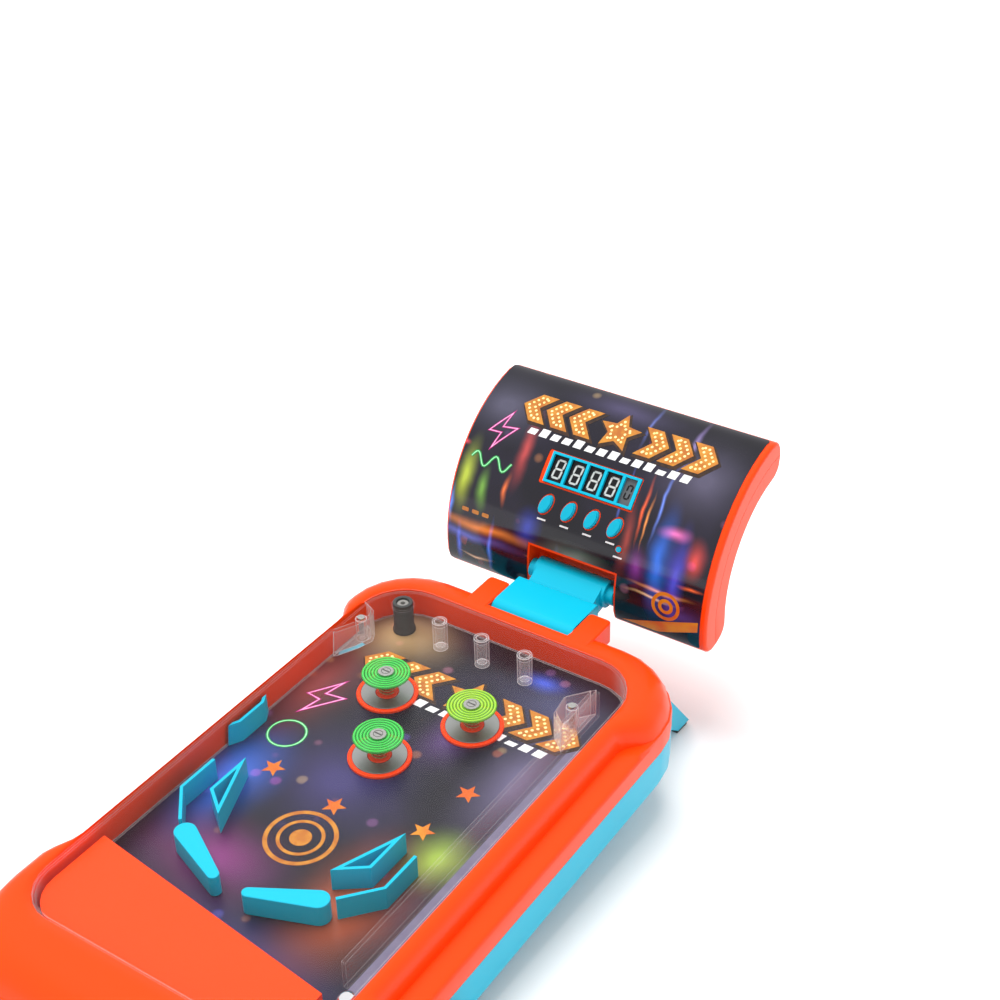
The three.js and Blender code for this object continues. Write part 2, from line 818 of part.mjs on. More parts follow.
function baseInner() {
  const round = shellWall;
  return loft([
    ringAt(bodyLoop, -shellWall - round, baseFloorZ),
    ringAt(bodyLoop, -shellWall - round / 4, baseFloorZ + round / 4),
    ringAt(bodyLoop, -shellWall, baseFloorZ + round),
    ringAt(bodyLoop, -shellWall, baseTopZ + overrun),
  ]);
}

function guideRib(side) {
  const x = side * guideRibX;
  const z1 = buttonAxisZ + pushBarThickness / 2 + 2 * shellWall;
  const rib = block(
    x - guideRibThickness / 2, x + guideRibThickness / 2, buttonAxisY - guideRibHalfWidth,
    buttonAxisY + guideRibHalfWidth, baseFloorZ - shellWall / 2, z1);
  const slot = block(
    x - overrun, x + overrun, buttonAxisY - pushBarWidth / 2 - gap, buttonAxisY + pushBarWidth / 2 + gap,
    buttonAxisZ - pushBarThickness / 2 - gap, buttonAxisZ + pushBarThickness / 2 + gap);
  return cut(rib, [slot]);
}

function makeBaseShell() {
  const postFootZ = baseFloorZ - shellWall / 2;
  const tub = cut(baseOuter(), [baseInner()]);
  const wells = screwPosts.map(({ x, y }) => rodZ(x, y, postFootZ, baseTopZ, screwPostRadius, smallSides));
  const posts = panelPosts.map(
    ({ x, y }) => rodZ(x, y, postFootZ, -panelThickness - gap, panelPostRadius, smallSides));
  const bayTopZ = -baseDepth + bayDepth;
  const bay = block(
    -bayHalfLength - shellWall, bayHalfLength + shellWall, bayCentreY - bayHalfWidth - shellWall,
    bayCentreY + bayHalfWidth + shellWall, postFootZ, bayTopZ + shellWall);
  const bayRoom = block(
    -bayHalfLength, bayHalfLength, bayCentreY - bayHalfWidth, bayCentreY + bayHalfWidth,
    -baseDepth - overrun, bayTopZ);
  const inside = cut(
    union([...wells, ...posts, bay, guideRib(-1), guideRib(1)]), [baseBeyondWall()]);
  const screwHoles = screwPosts.flatMap(({ x, y }) => [
    rodZ(x, y, -baseDepth - overrun, -baseDepth + screwWellDepth, screwWellRadius, smallSides),
    rodZ(x, y, -baseDepth, baseTopZ + overrun, screwShank, smallSides),
  ]);
  const buttonHoles = [-1, 1].map((side) => {
    const x = (side * bodyWidth) / 2;
    return rodX(x - overrun, x + overrun, buttonAxisY, buttonAxisZ, buttonRadius + gap);
  });
  return cut(union([tub, inside]), [bayRoom, ...screwHoles, ...buttonHoles]);
}

// All the space outside the middle of the base wall, which trims what stands against it
function baseBeyondWall() {
  const reach = bodyWidth;
  const outside = block(
    bodyLoop.left - reach, bodyLoop.right + reach, bodyFrontY - reach, bodyBackY + reach,
    -baseDepth - overrun, baseTopZ + overrun);
  const keep = loft([
    ringAt(bodyLoop, -shellWall / 2, -baseDepth - 2 * overrun),
    ringAt(bodyLoop, -shellWall / 2, baseTopZ + 2 * overrun),
  ]);
  return cut(outside, [keep]);
}

// Playfield panel and what stands on it

function mirrored([x, y]) {
  return [2 * flipperCentreX - x, y];
}

function hollowGuide(corners) {
  const room = prismZ(shapeOf(insetCorners(corners, guideWall)), gap, guideHeight + overrun);
  return cut(prismZ(shapeOf(corners), -gap, guideHeight), [room]);
}

// The guides that steer the ball to the flippers are moulded in one with the panel
function makePlayfieldPanel() {
  const outset = rimFootClearance - gap;
  const plate = loft([ringAt(playLoop, outset, -panelThickness), ringAt(playLoop, outset, 0)]);
  const kickers = [slingCorners, slingCorners.map(mirrored), sideGuideShares.map(playPoint)].map(hollowGuide);
  const rails = [inlaneGuidePath, inlaneGuidePath.map(mirrored)].map(
    (path) => prismZ(stripShape(path, guideWall), -gap, guideHeight));
  const insideSkirt = skirtRoom(gap, -panelThickness, guideHeight);
  const guides = union([...kickers, ...rails]).intersect(insideSkirt);
  const shafts = [-1, 1].map((side) => rodZ(
    flipperCentreX + side * flipperPivotOffset, flipperPivotY, -panelThickness - overrun, overrun,
    shaftRadius + shaftClearance));
  return cut(union([plate, guides]), shafts);
}

function recess(corners, [x, y]) {
  const walls = prismZ(shapeOf(corners), gap, coverHeight);
  const room = prismZ(shapeOf(insetCorners(corners, recessWall)), gap + recessFloor, coverHeight + overrun);
  const post = rodZ(x, y, gap, coverHeight - recessBossDrop, recessBossRadius, smallSides);
  const bore = rodZ(x, y, gap + recessFloor, coverHeight + overrun, recessBossBore, smallSides);
  return { walls, room, post, bore };
}

const coverUnder = coverHeight - coverPlate;

// Room inside the cover's skirt, which narrows upward
function skirtRoom(clearance, z0, z1) {
  const slope = coverFootOutset / (coverHeight - gap);
  const rings = [z0, z1].map((z) => {
    const outset = coverFootOutset - slope * (z - gap) - coverSkirt - clearance;
    return ringAt(playLoop, outset, z);
  });
  return loft(rings);
}

function coverOutside() {
  return loft([ringAt(playLoop, coverFootOutset, gap), ringAt(playLoop, 0, coverHeight)]);
}

// The top plate of the cover, with the deflectors and posts that hang from it
function makeClearCover() {
  const beyond = [playLeftX, playBackY, playRightX, playFrontY].map((v) => v * 2);
  const [left, back, right, front] = beyond;
  const plate = coverOutside().intersect(block(left, right, front, back, coverUnder, coverHeight + overrun));
  const posts = [];
  const bores = [];
  for (let k = 0; k < postCount; k += 1) {
    const x = postRowX + (k - (postCount - 1) / 2) * postPitch;
    posts.push(rodZ(x, 0, gap, postHeight, postRadius));
    bores.push(rodZ(x, 0, gap + recessFloor, postHeight + overrun, postBoreRadius));
  }
  const recesses = [
    recess(deflectorLeftShares.map(playPoint), playPoint(deflectorLeftBossShares)),
    recess(deflectorRightShares.map(playPoint), playPoint(deflectorRightBossShares)),
  ];
  const walls = union(recesses.map((r) => r.walls)).intersect(skirtRoom(gap, gap, coverHeight));
  const opened = cut(union([plate, walls]), recesses.map((r) => r.room));
  const fitted = union([opened, ...recesses.map((r) => r.post), ...posts]);
  const sleeveHole = rodZ(sleeveX, sleeveY, coverUnder - overrun, coverHeight + overrun, sleeveRadius + 2 * gap);
  return cut(fitted, [...bores, ...recesses.map((r) => r.bore), sleeveHole]);
}

// The skirt of the cover, which stands inside the frame's wall
function makeCoverSkirt() {
  const [left, back, right, front] = [playLeftX, playBackY, playRightX, playFrontY].map((v) => v * 2);
  const below = block(left, right, front, back, 0, coverUnder - gap);
  const plungerHole = rodY(playFrontY - overrun, laneWallY, laneX, ballRadius + gap, bushRadius + gap);
  return cut(coverOutside().intersect(below), [skirtRoom(0, 0, coverHeight), plungerHole]);
}

function makeLaneDivider() {
  return block(
    dividerX - dividerThickness / 2, dividerX + dividerThickness / 2, dividerFrontY, dividerBackY,
    gap, coverUnder - gap);
}

function makeRubberPost() {
  return turned([
    [sleeveBore, gap], [sleeveFootRadius, gap], [sleeveFootRadius, gap + sleeveFootHeight],
    [sleeveRadius, gap + 2 * sleeveFootHeight], [sleeveRadius, sleeveHeight - gap],
    [sleeveRadius - gap, sleeveHeight], [sleeveBore, sleeveHeight],
  ], sleeveX, sleeveY);
}

function makeRubberPostCore() {
  const top = sleeveHeight - sleeveCoreDrop;
  return turned([
    [0, gap], [sleeveBore - gap, gap], [sleeveBore - gap, top], [sleeveCoreBore, top],
    [sleeveCoreBore, gap + recessFloor], [0, gap + recessFloor],
  ], sleeveX, sleeveY, smallSides);
}

function makeApron() {
  const inset = -coverSkirt - apronSetback;
  const corners = [
    [bodyLoop.left, apronLeftY], [playLeftX, apronLeftY], [dividerX, apronRightY],
    [dividerX, bodyFrontY], [bodyLoop.left, bodyFrontY],
  ];
  const room = loft([ringAt(playLoop, inset, gap), ringAt(playLoop, inset, apronHeight)]);
  const under = loft([
    ringAt(playLoop, inset - apronWall, -overrun), ringAt(playLoop, inset - apronWall, apronHeight - apronWall),
  ]);
  const block0 = prismZ(shapeOf(corners), gap, apronHeight).intersect(room);
  const hollow = prismZ(shapeOf(insetCorners(corners, apronWall)), -overrun, apronHeight).intersect(under);
  return cut(block0, [hollow]);
}

// Bumpers

function makeBumperBase({ x, y }) {
  const r = bumperBaseRadius;
  return turned([
    [0, gap], [r, gap], [r, bumperRimHeight - gap], [r - gap, bumperRimHeight],
    [r - bumperRimWidth, bumperRimHeight], [r - bumperRimWidth, gap + bumperBaseFloor],
    [bumperBossRadius, gap + bumperBaseFloor], [bumperBossRadius, bumperBossHeight], [0, bumperBossHeight],
  ], x, y);
}

function makeBumperPlate({ x, y }) {
  const z0 = gap + bumperBaseFloor + gap;
  const z1 = z0 + bumperPlateThickness;
  const outer = bumperBaseRadius - bumperRimWidth - gap;
  const inner = bumperBossRadius + gap;
  return turned([[inner, z0], [outer, z0], [outer, z1], [inner, z1]], x, y);
}

const bumperDiscUnder = bumperDiscTop - bumperDiscThickness;
const bumperCollarUnder = bumperDiscUnder - gap - bumperCollarThickness;

function makeBumperSpring(number, { x, y }) {
  const z0 = bumperBossHeight + gap;
  const length = bumperCollarUnder - gap - z0;
  const wire = coil(`bumper_${number}_spring`, bumperCoilRadius, bumperCoilWire, length, bumperCoilCurls);
  return wire.translate([x, y, z0]);
}

function makeBumperStem({ x, y }) {
  const collarTop = bumperDiscUnder - gap;
  const capUnder = bumperDiscTop + gap / 2;
  const capTop = capUnder + bumperCapThickness;
  const stem = turned([
    [0, bumperStemFoot], [bumperStemRadius, bumperStemFoot], [bumperStemRadius, bumperCollarUnder],
    [bumperCollarRadius, bumperCollarUnder], [bumperCollarRadius, collarTop], [bumperStemRadius, collarTop],
    [bumperStemRadius, capUnder], [bumperCapRadius, capUnder], [bumperCapRadius, capTop - gap / 2],
    [bumperCapRadius - gap, capTop], [0, capTop],
  ], x, y, smallSides);
  const slot = block(
    x - bumperStemRadius, x + bumperStemRadius, y - bumperSlot / 2, y + bumperSlot / 2,
    capTop - bumperCapThickness / 2, capTop + overrun);
  return cut(stem, [slot]);
}

function makeBumperDisc({ x, y }) {
  const hub = bumperCapRadius + gap;
  const ridgePitch = (bumperDiscRadius - hub) / bumperRidgeCount;
  const ridges = [];
  for (let k = bumperRidgeCount; k > 0; k -= 1) {
    const outer = hub + k * ridgePitch;
    const low = bumperDiscTop - bumperRidgeHeight;
    ridges.push([outer, low], [outer - ridgePitch / 2, bumperDiscTop]);
  }
  return turned([
    [bumperStemRadius + gap, bumperDiscUnder], [bumperDiscRadius - gap, bumperDiscUnder],
    [bumperDiscRadius, bumperDiscUnder + gap], ...ridges, [hub, bumperDiscTop - bumperRidgeHeight],
    [bumperStemRadius + gap, bumperDiscTop - bumperRidgeHeight],
  ], x, y);
}

// Flippers, cranks and side buttons

function pivotX(side) {
  return flipperCentreX + side * flipperPivotOffset;
}

// Outline of a bat that points from its pivot along +x, narrowing to a round tip
function batShape() {
  const lean = Math.acos((flipperRootRadius - flipperTipRadius) / flipperReach);
  const shape = new THREE.Shape();
  shape.absarc(0, 0, flipperRootRadius, lean, 2 * Math.PI - lean, false);
  shape.absarc(flipperReach, 0, flipperTipRadius, -lean, lean, false);
  return shape;
}

function flipperAngle(side) {
  const rest = radians(flipperRestDegrees);
  return side < 0 ? rest : Math.PI - rest;
}

function makeFlipper(side) {
  const bat = prismZ(batShape(), flipperUnder, flipperTop, gap, cornerSteps)
    .rotate([0, 0, THREE.MathUtils.radToDeg(flipperAngle(side))])
    .translate([pivotX(side), flipperPivotY, 0]);
  const shaft = rodZ(
    pivotX(side), flipperPivotY, crankTop - crankThickness, flipperTop - 2 * gap, shaftRadius, smallSides);
  return bat.add(shaft);
}

// Place of the crank pin at rest: the throw hangs towards the front, turned back by the rest angle
function crankPinPlace(side) {
  const angle = radians(flipperRestDegrees);
  return [
    pivotX(side) - side * crankThrow * Math.sin(angle),
    flipperPivotY - crankThrow * Math.cos(angle),
  ];
}

function makeCrank(side) {
  const [x, y] = [pivotX(side), flipperPivotY];
  const [pinX, pinY] = crankPinPlace(side);
  const z0 = crankTop - crankThickness;
  const hub = rodZ(x, y, z0, crankTop, crankHubRadius);
  const eye = rodZ(pinX, pinY, z0, crankTop, crankWidth / 2, smallSides);
  const pin = rodZ(pinX, pinY, crankTop - crankThickness - crankPinDrop, crankTop - gap, crankPinRadius, smallSides);
  const bore = rodZ(x, y, z0 - overrun, crankTop + overrun, shaftRadius + gap, smallSides);
  const reach = new THREE.Vector2(pinX - x, pinY - y);
  const across = new THREE.Vector2(-reach.y, reach.x).normalize().multiplyScalar(crankWidth / 2);
  const web = prismZ(shapeOf([
    [x + across.x, y + across.y], [x - across.x, y - across.y],
    [pinX - across.x, pinY - across.y], [pinX + across.x, pinY + across.y],
  ]), z0, crankTop);
  return cut(union([hub, web, eye, pin]), [bore]);
}

const wallInnerX = bodyWidth / 2 - shellWall;

// Drawn for the right side, with +x outward, and mirrored for the left
function makeButton(side) {
  const flangeOuter = wallInnerX - gap;
  const flangeInner = flangeOuter - buttonFlangeThickness;
  const capEnd = bodyWidth / 2 + buttonProud;
  const pinX = Math.abs(crankPinPlace(side)[0]);
  const barEnd = pinX - crankPinRadius - gap - pushBarEnd;
  const profile = [
    [0, flangeInner - buttonStemLength], [buttonStemRadius, flangeInner - buttonStemLength],
    [buttonStemRadius, flangeInner], [buttonFlangeRadius, flangeInner], [buttonFlangeRadius, flangeOuter],
    [buttonRadius, flangeOuter], [buttonRadius, capEnd - buttonRound],
    [buttonRadius - buttonRound / 3, capEnd - buttonRound / 3], [buttonRadius - buttonRound, capEnd], [0, capEnd],
  ];
  const points = profile.map(([radius, height]) => new THREE.Vector2(radius, height));
  const round = new THREE.LatheGeometry(points, roundSides).rotateZ(-Math.PI / 2);
  const cap = solidOf(round.translate(0, buttonAxisY, buttonAxisZ));
  const bar = block(
    barEnd, flangeInner - buttonStemLength + buttonStemRadius, buttonAxisY - pushBarWidth / 2,
    buttonAxisY + pushBarWidth / 2, buttonAxisZ - pushBarThickness / 2, buttonAxisZ + pushBarThickness / 2);
  const slot = block(
    pinX - crankPinRadius - gap, pinX + crankPinRadius + gap, buttonAxisY - pushBarSlotHalfLength,
    buttonAxisY + pushBarSlotHalfLength, buttonAxisZ - overrun, buttonAxisZ + overrun);
  const button = cut(cap.add(bar), [slot]);
  return side > 0 ? button : leftFromRight(button);
}

function leftFromRight(body) {
  return body.mirror([1, 0, 0]);
}

function makeButtonSpring(side) {
  const flangeInner = wallInnerX - gap - buttonFlangeThickness;
  const start = guideRibX + guideRibThickness / 2 + gap;
  const length = flangeInner - gap - start;
  const name = side < 0 ? 'left_button_spring' : 'right_button_spring';
  const wire = coil(name, buttonCoilRadius, buttonCoilWire, length, buttonCoilCurls);
  const laid = wire.rotate([0, 90, 0]).translate([start, buttonAxisY, buttonAxisZ]);
  return side > 0 ? laid : leftFromRight(laid);
}

// Plunger and ball

const laneZ = ballRadius + gap;
const knobBackY = bushSeatY - bushFlangeThickness - 2 * gap;
const knobFrontY = knobBackY - knobLength;

function turnedAlongY(profile, x, z, sides = roundSides) {
  const points = profile.map(([radius, y]) => new THREE.Vector2(radius, y));
  return solidOf(new THREE.LatheGeometry(points, sides).translate(x, 0, z));
}

function makePlungerRod() {
  const tail = knobBackY - knobSocketDepth + gap;
  const r = plungerRodRadius;
  return turnedAlongY([
    [0, tail], [r, tail], [r, plungerCollarY], [plungerCollarRadius, plungerCollarY],
    [plungerCollarRadius, plungerCollarY + plungerCollarThickness], [r, plungerCollarY + plungerCollarThickness],
    [r, plungerTipY - r / 2], [r / 2, plungerTipY], [0, plungerTipY],
  ], laneX, laneZ, smallSides);
}

function makePlungerKnob() {
  const back = knobBackY;
  const socket = back - knobSocketDepth;
  const bore = plungerRodRadius + gap;
  return turnedAlongY([
    [0, knobFrontY], [knobRadius - 2 * buttonRound, knobFrontY], [knobRadius - buttonRound / 2, knobFrontY + buttonRound],
    [knobRadius, knobFrontY + 2 * buttonRound], [knobRadius, knobFrontY + knobLength / 2],
    [knobNeckRadius, back - buttonRound], [knobNeckRadius, back], [bore, back], [bore, socket], [0, socket],
  ], laneX, laneZ);
}

function makePlungerBush() {
  const inner = plungerRodRadius + gap;
  const seat = bushSeatY - gap;
  return turnedAlongY([
    [inner, seat - bushFlangeThickness], [bushFlangeRadius, seat - bushFlangeThickness], [bushFlangeRadius, seat],
    [bushRadius, seat], [bushRadius, bushInnerY], [inner, bushInnerY], [inner, seat - bushFlangeThickness],
  ], laneX, laneZ, smallSides);
}

function makePlungerSpring() {
  const start = bushInnerY + gap;
  const length = plungerCollarY - gap - start;
  const wire = coil('plunger_spring', plungerCoilRadius, plungerCoilWire, length, plungerCoilCurls);
  return wire.rotate([-90, 0, 0]).translate([laneX, start, laneZ]);
}

function makeBall() {
  const ball = new THREE.SphereGeometry(ballRadius, smallSides + 2, smallSides - 2);
  return solidOf(ball.translate(laneX, plungerTipY + gap + ballRadius, laneZ));
}

// Link arm and hinge pins

function makeLinkArm() {
  const half = lugInnerWidth / 2 - gap;
  const plateShape = new THREE.Shape();
  plateShape.absarc(foldAxisY, foldAxisZ, foldKnuckleRadius, Math.PI / 2, 1.5 * Math.PI, false);
  plateShape.lineTo(linkBackY, linkUnderZ);
  plateShape.lineTo(linkBackY, rimHeight - linkBackRound);
  plateShape.quadraticCurveTo(linkBackY, rimHeight, linkBackY - linkBackRound, rimHeight);
  const plate = prismX(plateShape, -half, half, 0, cornerSteps);
  const topTouch = radians(neckTopTouchDegrees);
  const underTouch = radians(neckUnderTouchDegrees);
  const neckShape = shapeOf([
    [linkBackY - linkSkin, neckUnderZ], [linkBackY - linkSkin, neckRootZ], [neckCreaseY, neckRootZ],
    [tiltAxisY + barrelRadius * Math.cos(topTouch), tiltAxisZ + barrelRadius * Math.sin(topTouch)],
    [tiltAxisY, tiltAxisZ],
    [tiltAxisY + barrelRadius * Math.cos(underTouch), tiltAxisZ + barrelRadius * Math.sin(underTouch)],
  ]);
  const neck = prismX(neckShape, -neckHalfWidth, neckHalfWidth);
  const barrel = rodX(-barrelHalfWidth, barrelHalfWidth, tiltAxisY, tiltAxisZ, barrelRadius, 2 * smallSides);
  const bossHalf = pocketHalfWidth - 2 * gap;
  const bosses = rodX(-bossHalf, bossHalf, tiltAxisY, tiltAxisZ, bossRadius);
  const roomFrontY = foldAxisY + foldKnuckleRadius;
  const room = block(
    -half + linkSkin, half - linkSkin, roomFrontY, linkBackY - linkSkin, linkUnderZ - overrun,
    rimHeight - linkSkin);
  const ribs = [-1, 1].map((side) => block(
    (side * half) / 3 - linkSkin / 2, (side * half) / 3 + linkSkin / 2, roomFrontY - linkSkin,
    linkBackY - linkSkin / 2, linkUnderZ + linkSkin, rimHeight - linkSkin / 2));
  const foldBore = rodX(-half - overrun, half + overrun, foldAxisY, foldAxisZ, hingePinRadius + gap, smallSides);
  const tiltBore = rodX(-half - overrun, half + overrun, tiltAxisY, tiltAxisZ, tiltPinRadius + gap, smallSides);
  const body = cut(plate, [room]);
  return cut(union([body, ...ribs, neck, barrel, bosses]), [foldBore, tiltBore]);
}

function makeLinkPin() {
  const outer = lugInnerWidth / 2 + lugWidth;
  return rodX(-outer + pinEndSkin / 2, outer - pinEndSkin - gap, foldAxisY, foldAxisZ, hingePinRadius, smallSides);
}

function makeHeadPin() {
  const reach = pocketHalfWidth + pocketSideWall;
  return rodX(-reach, reach, tiltAxisY, tiltAxisZ, tiltPinRadius, smallSides);
}

// Score panel

// A frame on the panel's surface: x across, y up the curve, z outward, at an angle about the bend axis
function panelFrame(degrees, radius, x = 0) {
  const angle = radians(degrees);
  const [c, s] = [Math.cos(angle), Math.sin(angle)];
  return new THREE.Matrix4().set(
    1, 0, 0, x,
    0, s, -c, bendAxisY - radius * c,
    0, c, s, bendAxisZ + radius * s,
    0, 0, 0, 1);
}

function onPanel(geometry, degrees, radius, x = 0) {
  return solidOf(geometry.applyMatrix4(panelFrame(degrees, radius, x)));
}

function sectorPoint(radius, angle) {
  return [bendAxisY - radius * Math.cos(angle), bendAxisZ + radius * Math.sin(angle)];
}

// Section between two arcs, with its four corners rounded
function sectorShape(inner, outer, footAngle, topAngle, outerRound, innerRound) {
  const points = [];
  const arc = (radius, from, to) => {
    for (let k = 0; k <= headArcSteps; k += 1) {
      points.push(sectorPoint(radius, from + ((to - from) * k) / headArcSteps));
    }
  };
  const corner = (from, tip, to) => {
    const curve = new THREE.QuadraticBezierCurve(...[from, tip, to].map(([u, v]) => new THREE.Vector2(u, v)));
    curve.getPoints(headCornerSteps).slice(1, -1).forEach((p) => points.push([p.x, p.y]));
  };
  const [footOut, topOut] = [footAngle + outerRound / outer, topAngle - outerRound / outer];
  const [footIn, topIn] = [footAngle + innerRound / inner, topAngle - innerRound / inner];
  arc(outer, footOut, topOut);
  const [topOuter, topInner] = [sectorPoint(outer - outerRound, topAngle), sectorPoint(inner + innerRound, topAngle)];
  corner(sectorPoint(outer, topOut), sectorPoint(outer, topAngle), topOuter);
  points.push(topOuter, topInner);
  corner(topInner, sectorPoint(inner, topAngle), sectorPoint(inner, topIn));
  arc(inner, topIn, footIn);
  const [footInner, footOuter] = [
    sectorPoint(inner + innerRound, footAngle), sectorPoint(outer - outerRound, footAngle)];
  corner(sectorPoint(inner, footIn), sectorPoint(inner, footAngle), footInner);
  points.push(footInner, footOuter);
  corner(footOuter, sectorPoint(outer, footAngle), sectorPoint(outer, footOut));
  return shapeOf(points);
}

function plainSector(inner, outer, footAngle, topAngle, halfWidth) {
  const shape = new THREE.Shape();
  shape.absarc(bendAxisY, bendAxisZ, outer, Math.PI - footAngle, Math.PI - topAngle, true);
  shape.absarc(bendAxisY, bendAxisZ, inner, Math.PI - topAngle, Math.PI - footAngle, false);
  return prismX(shape, -halfWidth, halfWidth, 0, cornerSteps);
}

function bendCylinder(radius) {
  return rodX(-headWidth, headWidth, bendAxisY, bendAxisZ, radius, headCylinderSides);
}

const footAngle = radians(headFootDegrees);
const topAngle = radians(headTopDegrees);
const pocketTop = radians(pocketTopDegrees);

function headBlank() {
  const shape = sectorShape(
    headBackRadius, headFrontRadius, footAngle, topAngle, headFrontRound, headBackRound);
  return prismX(shape, -headWidth / 2, headWidth / 2, headEdgeRound);
}

function headRoom() {
  const turn = headWall / headPartingRadius;
  const shape = sectorShape(
    headBackRadius + headWall, headFrontRadius - headWall, footAngle + turn, topAngle - turn,
    headFrontRound - headWall, headBackRound - headWall);
  const half = headWidth / 2 - headWall;
  const room = prismX(shape, -half, half);
  const pocketWalls = plainSector(
    pocketBackRadius - headWall, headFrontRadius + overrun, footAngle - 2 * turn,
    pocketTop + headWall / headPartingRadius, pocketHalfWidth + pocketSideWall);
  return cut(room, [pocketWalls]);
}

function pocketRoom() {
  const turn = overrun / headPartingRadius;
  return plainSector(pocketBackRadius, headFrontRadius + overrun, footAngle - turn, pocketTop, pocketHalfWidth);
}

function tiltPinBore() {
  const reach = pocketHalfWidth + pocketSideWall + gap;
  return rodX(-reach, reach, tiltAxisY, tiltAxisZ, tiltPinRadius + gap, smallSides);
}

function bezelOpening() {
  const opening = new THREE.BoxGeometry(bezelWidth + 2 * gap, bezelHeight + 2 * gap, 4 * overrun);
  return onPanel(opening, displayDegrees, headFrontRadius);
}

function keyShape(grow) {
  const shape = new THREE.Shape();
  shape.absellipse(
    0, 0, keyWidth / 2 + grow, keyLength / 2 + grow, 0, 2 * Math.PI, false, radians(-keySlantDegrees));
  return shape;
}

function keyPrism(grow, z0, z1) {
  return new THREE.ExtrudeGeometry(keyShape(grow), {
    depth: z1 - z0,
    curveSegments: keySteps,
    bevelEnabled: false,
  }).translate(0, 0, z0);
}

function keyX(number) {
  return (number - (keyCount - 1) / 2) * keyPitch;
}

function boardPostPlaces() {
  const x = boardWidth / 2 - boardPostInset;
  return [[-x, boardRise - boardPostInset], [x, boardRise - boardPostInset],
    [-x, boardPostInset - boardDrop], [x, boardPostInset - boardDrop]];
}

const boardFrontDistance = boardDistance + boardThickness / 2;

function makeHeadFront() {
  const shell = cut(headBlank(), [bendCylinder(headPartingRadius + gap / 2), headRoom()]);
  const skin = bendCylinder(headFrontRadius - headWall / 2);
  const posts = boardPostPlaces().map(([x, up]) => {
    const length = headFrontRadius - boardFrontDistance - gap;
    const post = new THREE.CylinderGeometry(boardPostRadius, boardPostRadius, length, smallSides);
    post.rotateX(Math.PI / 2).translate(x, up, boardFrontDistance + gap + length / 2);
    return onPanel(post, displayDegrees, 0).intersect(skin);
  });
  const keyHoles = [];
  for (let k = 0; k < keyCount; k += 1) {
    keyHoles.push(onPanel(keyPrism(gap, -2 * overrun, overrun), keyRowDegrees, headFrontRadius, keyX(k)));
  }
  const resetHole = new THREE.CylinderGeometry(resetRadius + gap, resetRadius + gap, 4 * overrun, smallSides);
  return cut(union([shell, ...posts]), [
    pocketRoom(), tiltPinBore(), bezelOpening(), ...keyHoles,
    onPanel(resetHole.rotateX(Math.PI / 2), resetDegrees, headFrontRadius, resetX),
  ]);
}

function makeHeadBack() {
  const within = headBlank().intersect(bendCylinder(headPartingRadius - gap / 2));
  const shell = cut(within, [headRoom()]);
  const slots = [];
  for (let k = 0; k < speakerSlotCount; k += 1) {
    const up = (k - (speakerSlotCount - 1) / 2) * speakerSlotPitch;
    const span = 2 * Math.sqrt((speakerRadius - headWall) ** 2 - up ** 2);
    const slot = new THREE.BoxGeometry(span, speakerSlotWidth, 2 * overrun).translate(0, up, 0);
    slots.push(onPanel(slot, speakerDegrees, headBackRadius, speakerX));
  }
  const screws = [];
  for (const x of [-headScrewX, headScrewX]) {
    for (const degrees of [headScrewLowDegrees, headScrewHighDegrees]) {
      const head = new THREE.CylinderGeometry(headScrewRadius, headScrewRadius, 2 * overrun, smallSides);
      head.rotateX(Math.PI / 2).translate(0, 0, headScrewDepth - overrun);
      const shank = new THREE.CylinderGeometry(headScrewShank, headScrewShank, 3 * overrun, smallSides);
      shank.rotateX(Math.PI / 2);
      screws.push(onPanel(head, degrees, headBackRadius, x), onPanel(shank, degrees, headBackRadius, x));
    }
  }
  return cut(shell, [pocketRoom(), ...slots, ...screws]);
}

const bezelFace = headFrontRadius + bezelProud;
const bezelBack = bezelFace - bezelThickness;

function makeDisplayBezel() {
  const plate = new THREE.BoxGeometry(bezelWidth, bezelHeight, bezelThickness).translate(0, 0, -bezelThickness / 2);
  const windowHeight = bezelHeight - 2 * bezelBorder;
  const windows = [];
  let x = -bezelWidth / 2 + bezelBorder;
  const widths = [...Array(digitCount).fill(digitWindowWidth), smallWindowWidth];
  for (const width of widths) {
    const opening = new THREE.BoxGeometry(width, windowHeight, 4 * bezelThickness);
    windows.push(onPanel(opening.translate(x + width / 2, 0, 0), displayDegrees, bezelFace));
    x += width + windowBar;
  }
  return cut(onPanel(plate, displayDegrees, bezelFace), windows);
}

function makeDisplayModule() {
  const height = bezelHeight - 2 * displayMargin;
  const module = new THREE.BoxGeometry(bezelWidth - 2 * displayMargin, height, displayDepth);
  return onPanel(module.translate(0, 0, -displayDepth / 2 - gap), displayDegrees, bezelBack);
}

function makeCircuitBoard() {
  const board = new THREE.BoxGeometry(boardWidth, boardRise + boardDrop, boardThickness);
  board.translate(0, (boardRise - boardDrop) / 2, boardDistance);
  const header = new THREE.BoxGeometry(bezelWidth / 2, bezelHeight / 2, 1);
  const headerLength = bezelBack - gap - displayDepth - gap - boardFrontDistance;
  header.scale(1, 1, headerLength + boardThickness / 2);
  header.translate(0, 0, boardFrontDistance + headerLength / 2 - boardThickness / 4);
  return union([onPanel(board, displayDegrees, 0), onPanel(header, displayDegrees, 0)]);
}

// Outer face of the circuit board, seen along a surface angle, as a distance from the bend axis
function boardDistanceAt(degrees) {
  return boardFrontDistance / Math.cos(radians(displayDegrees - degrees));
}

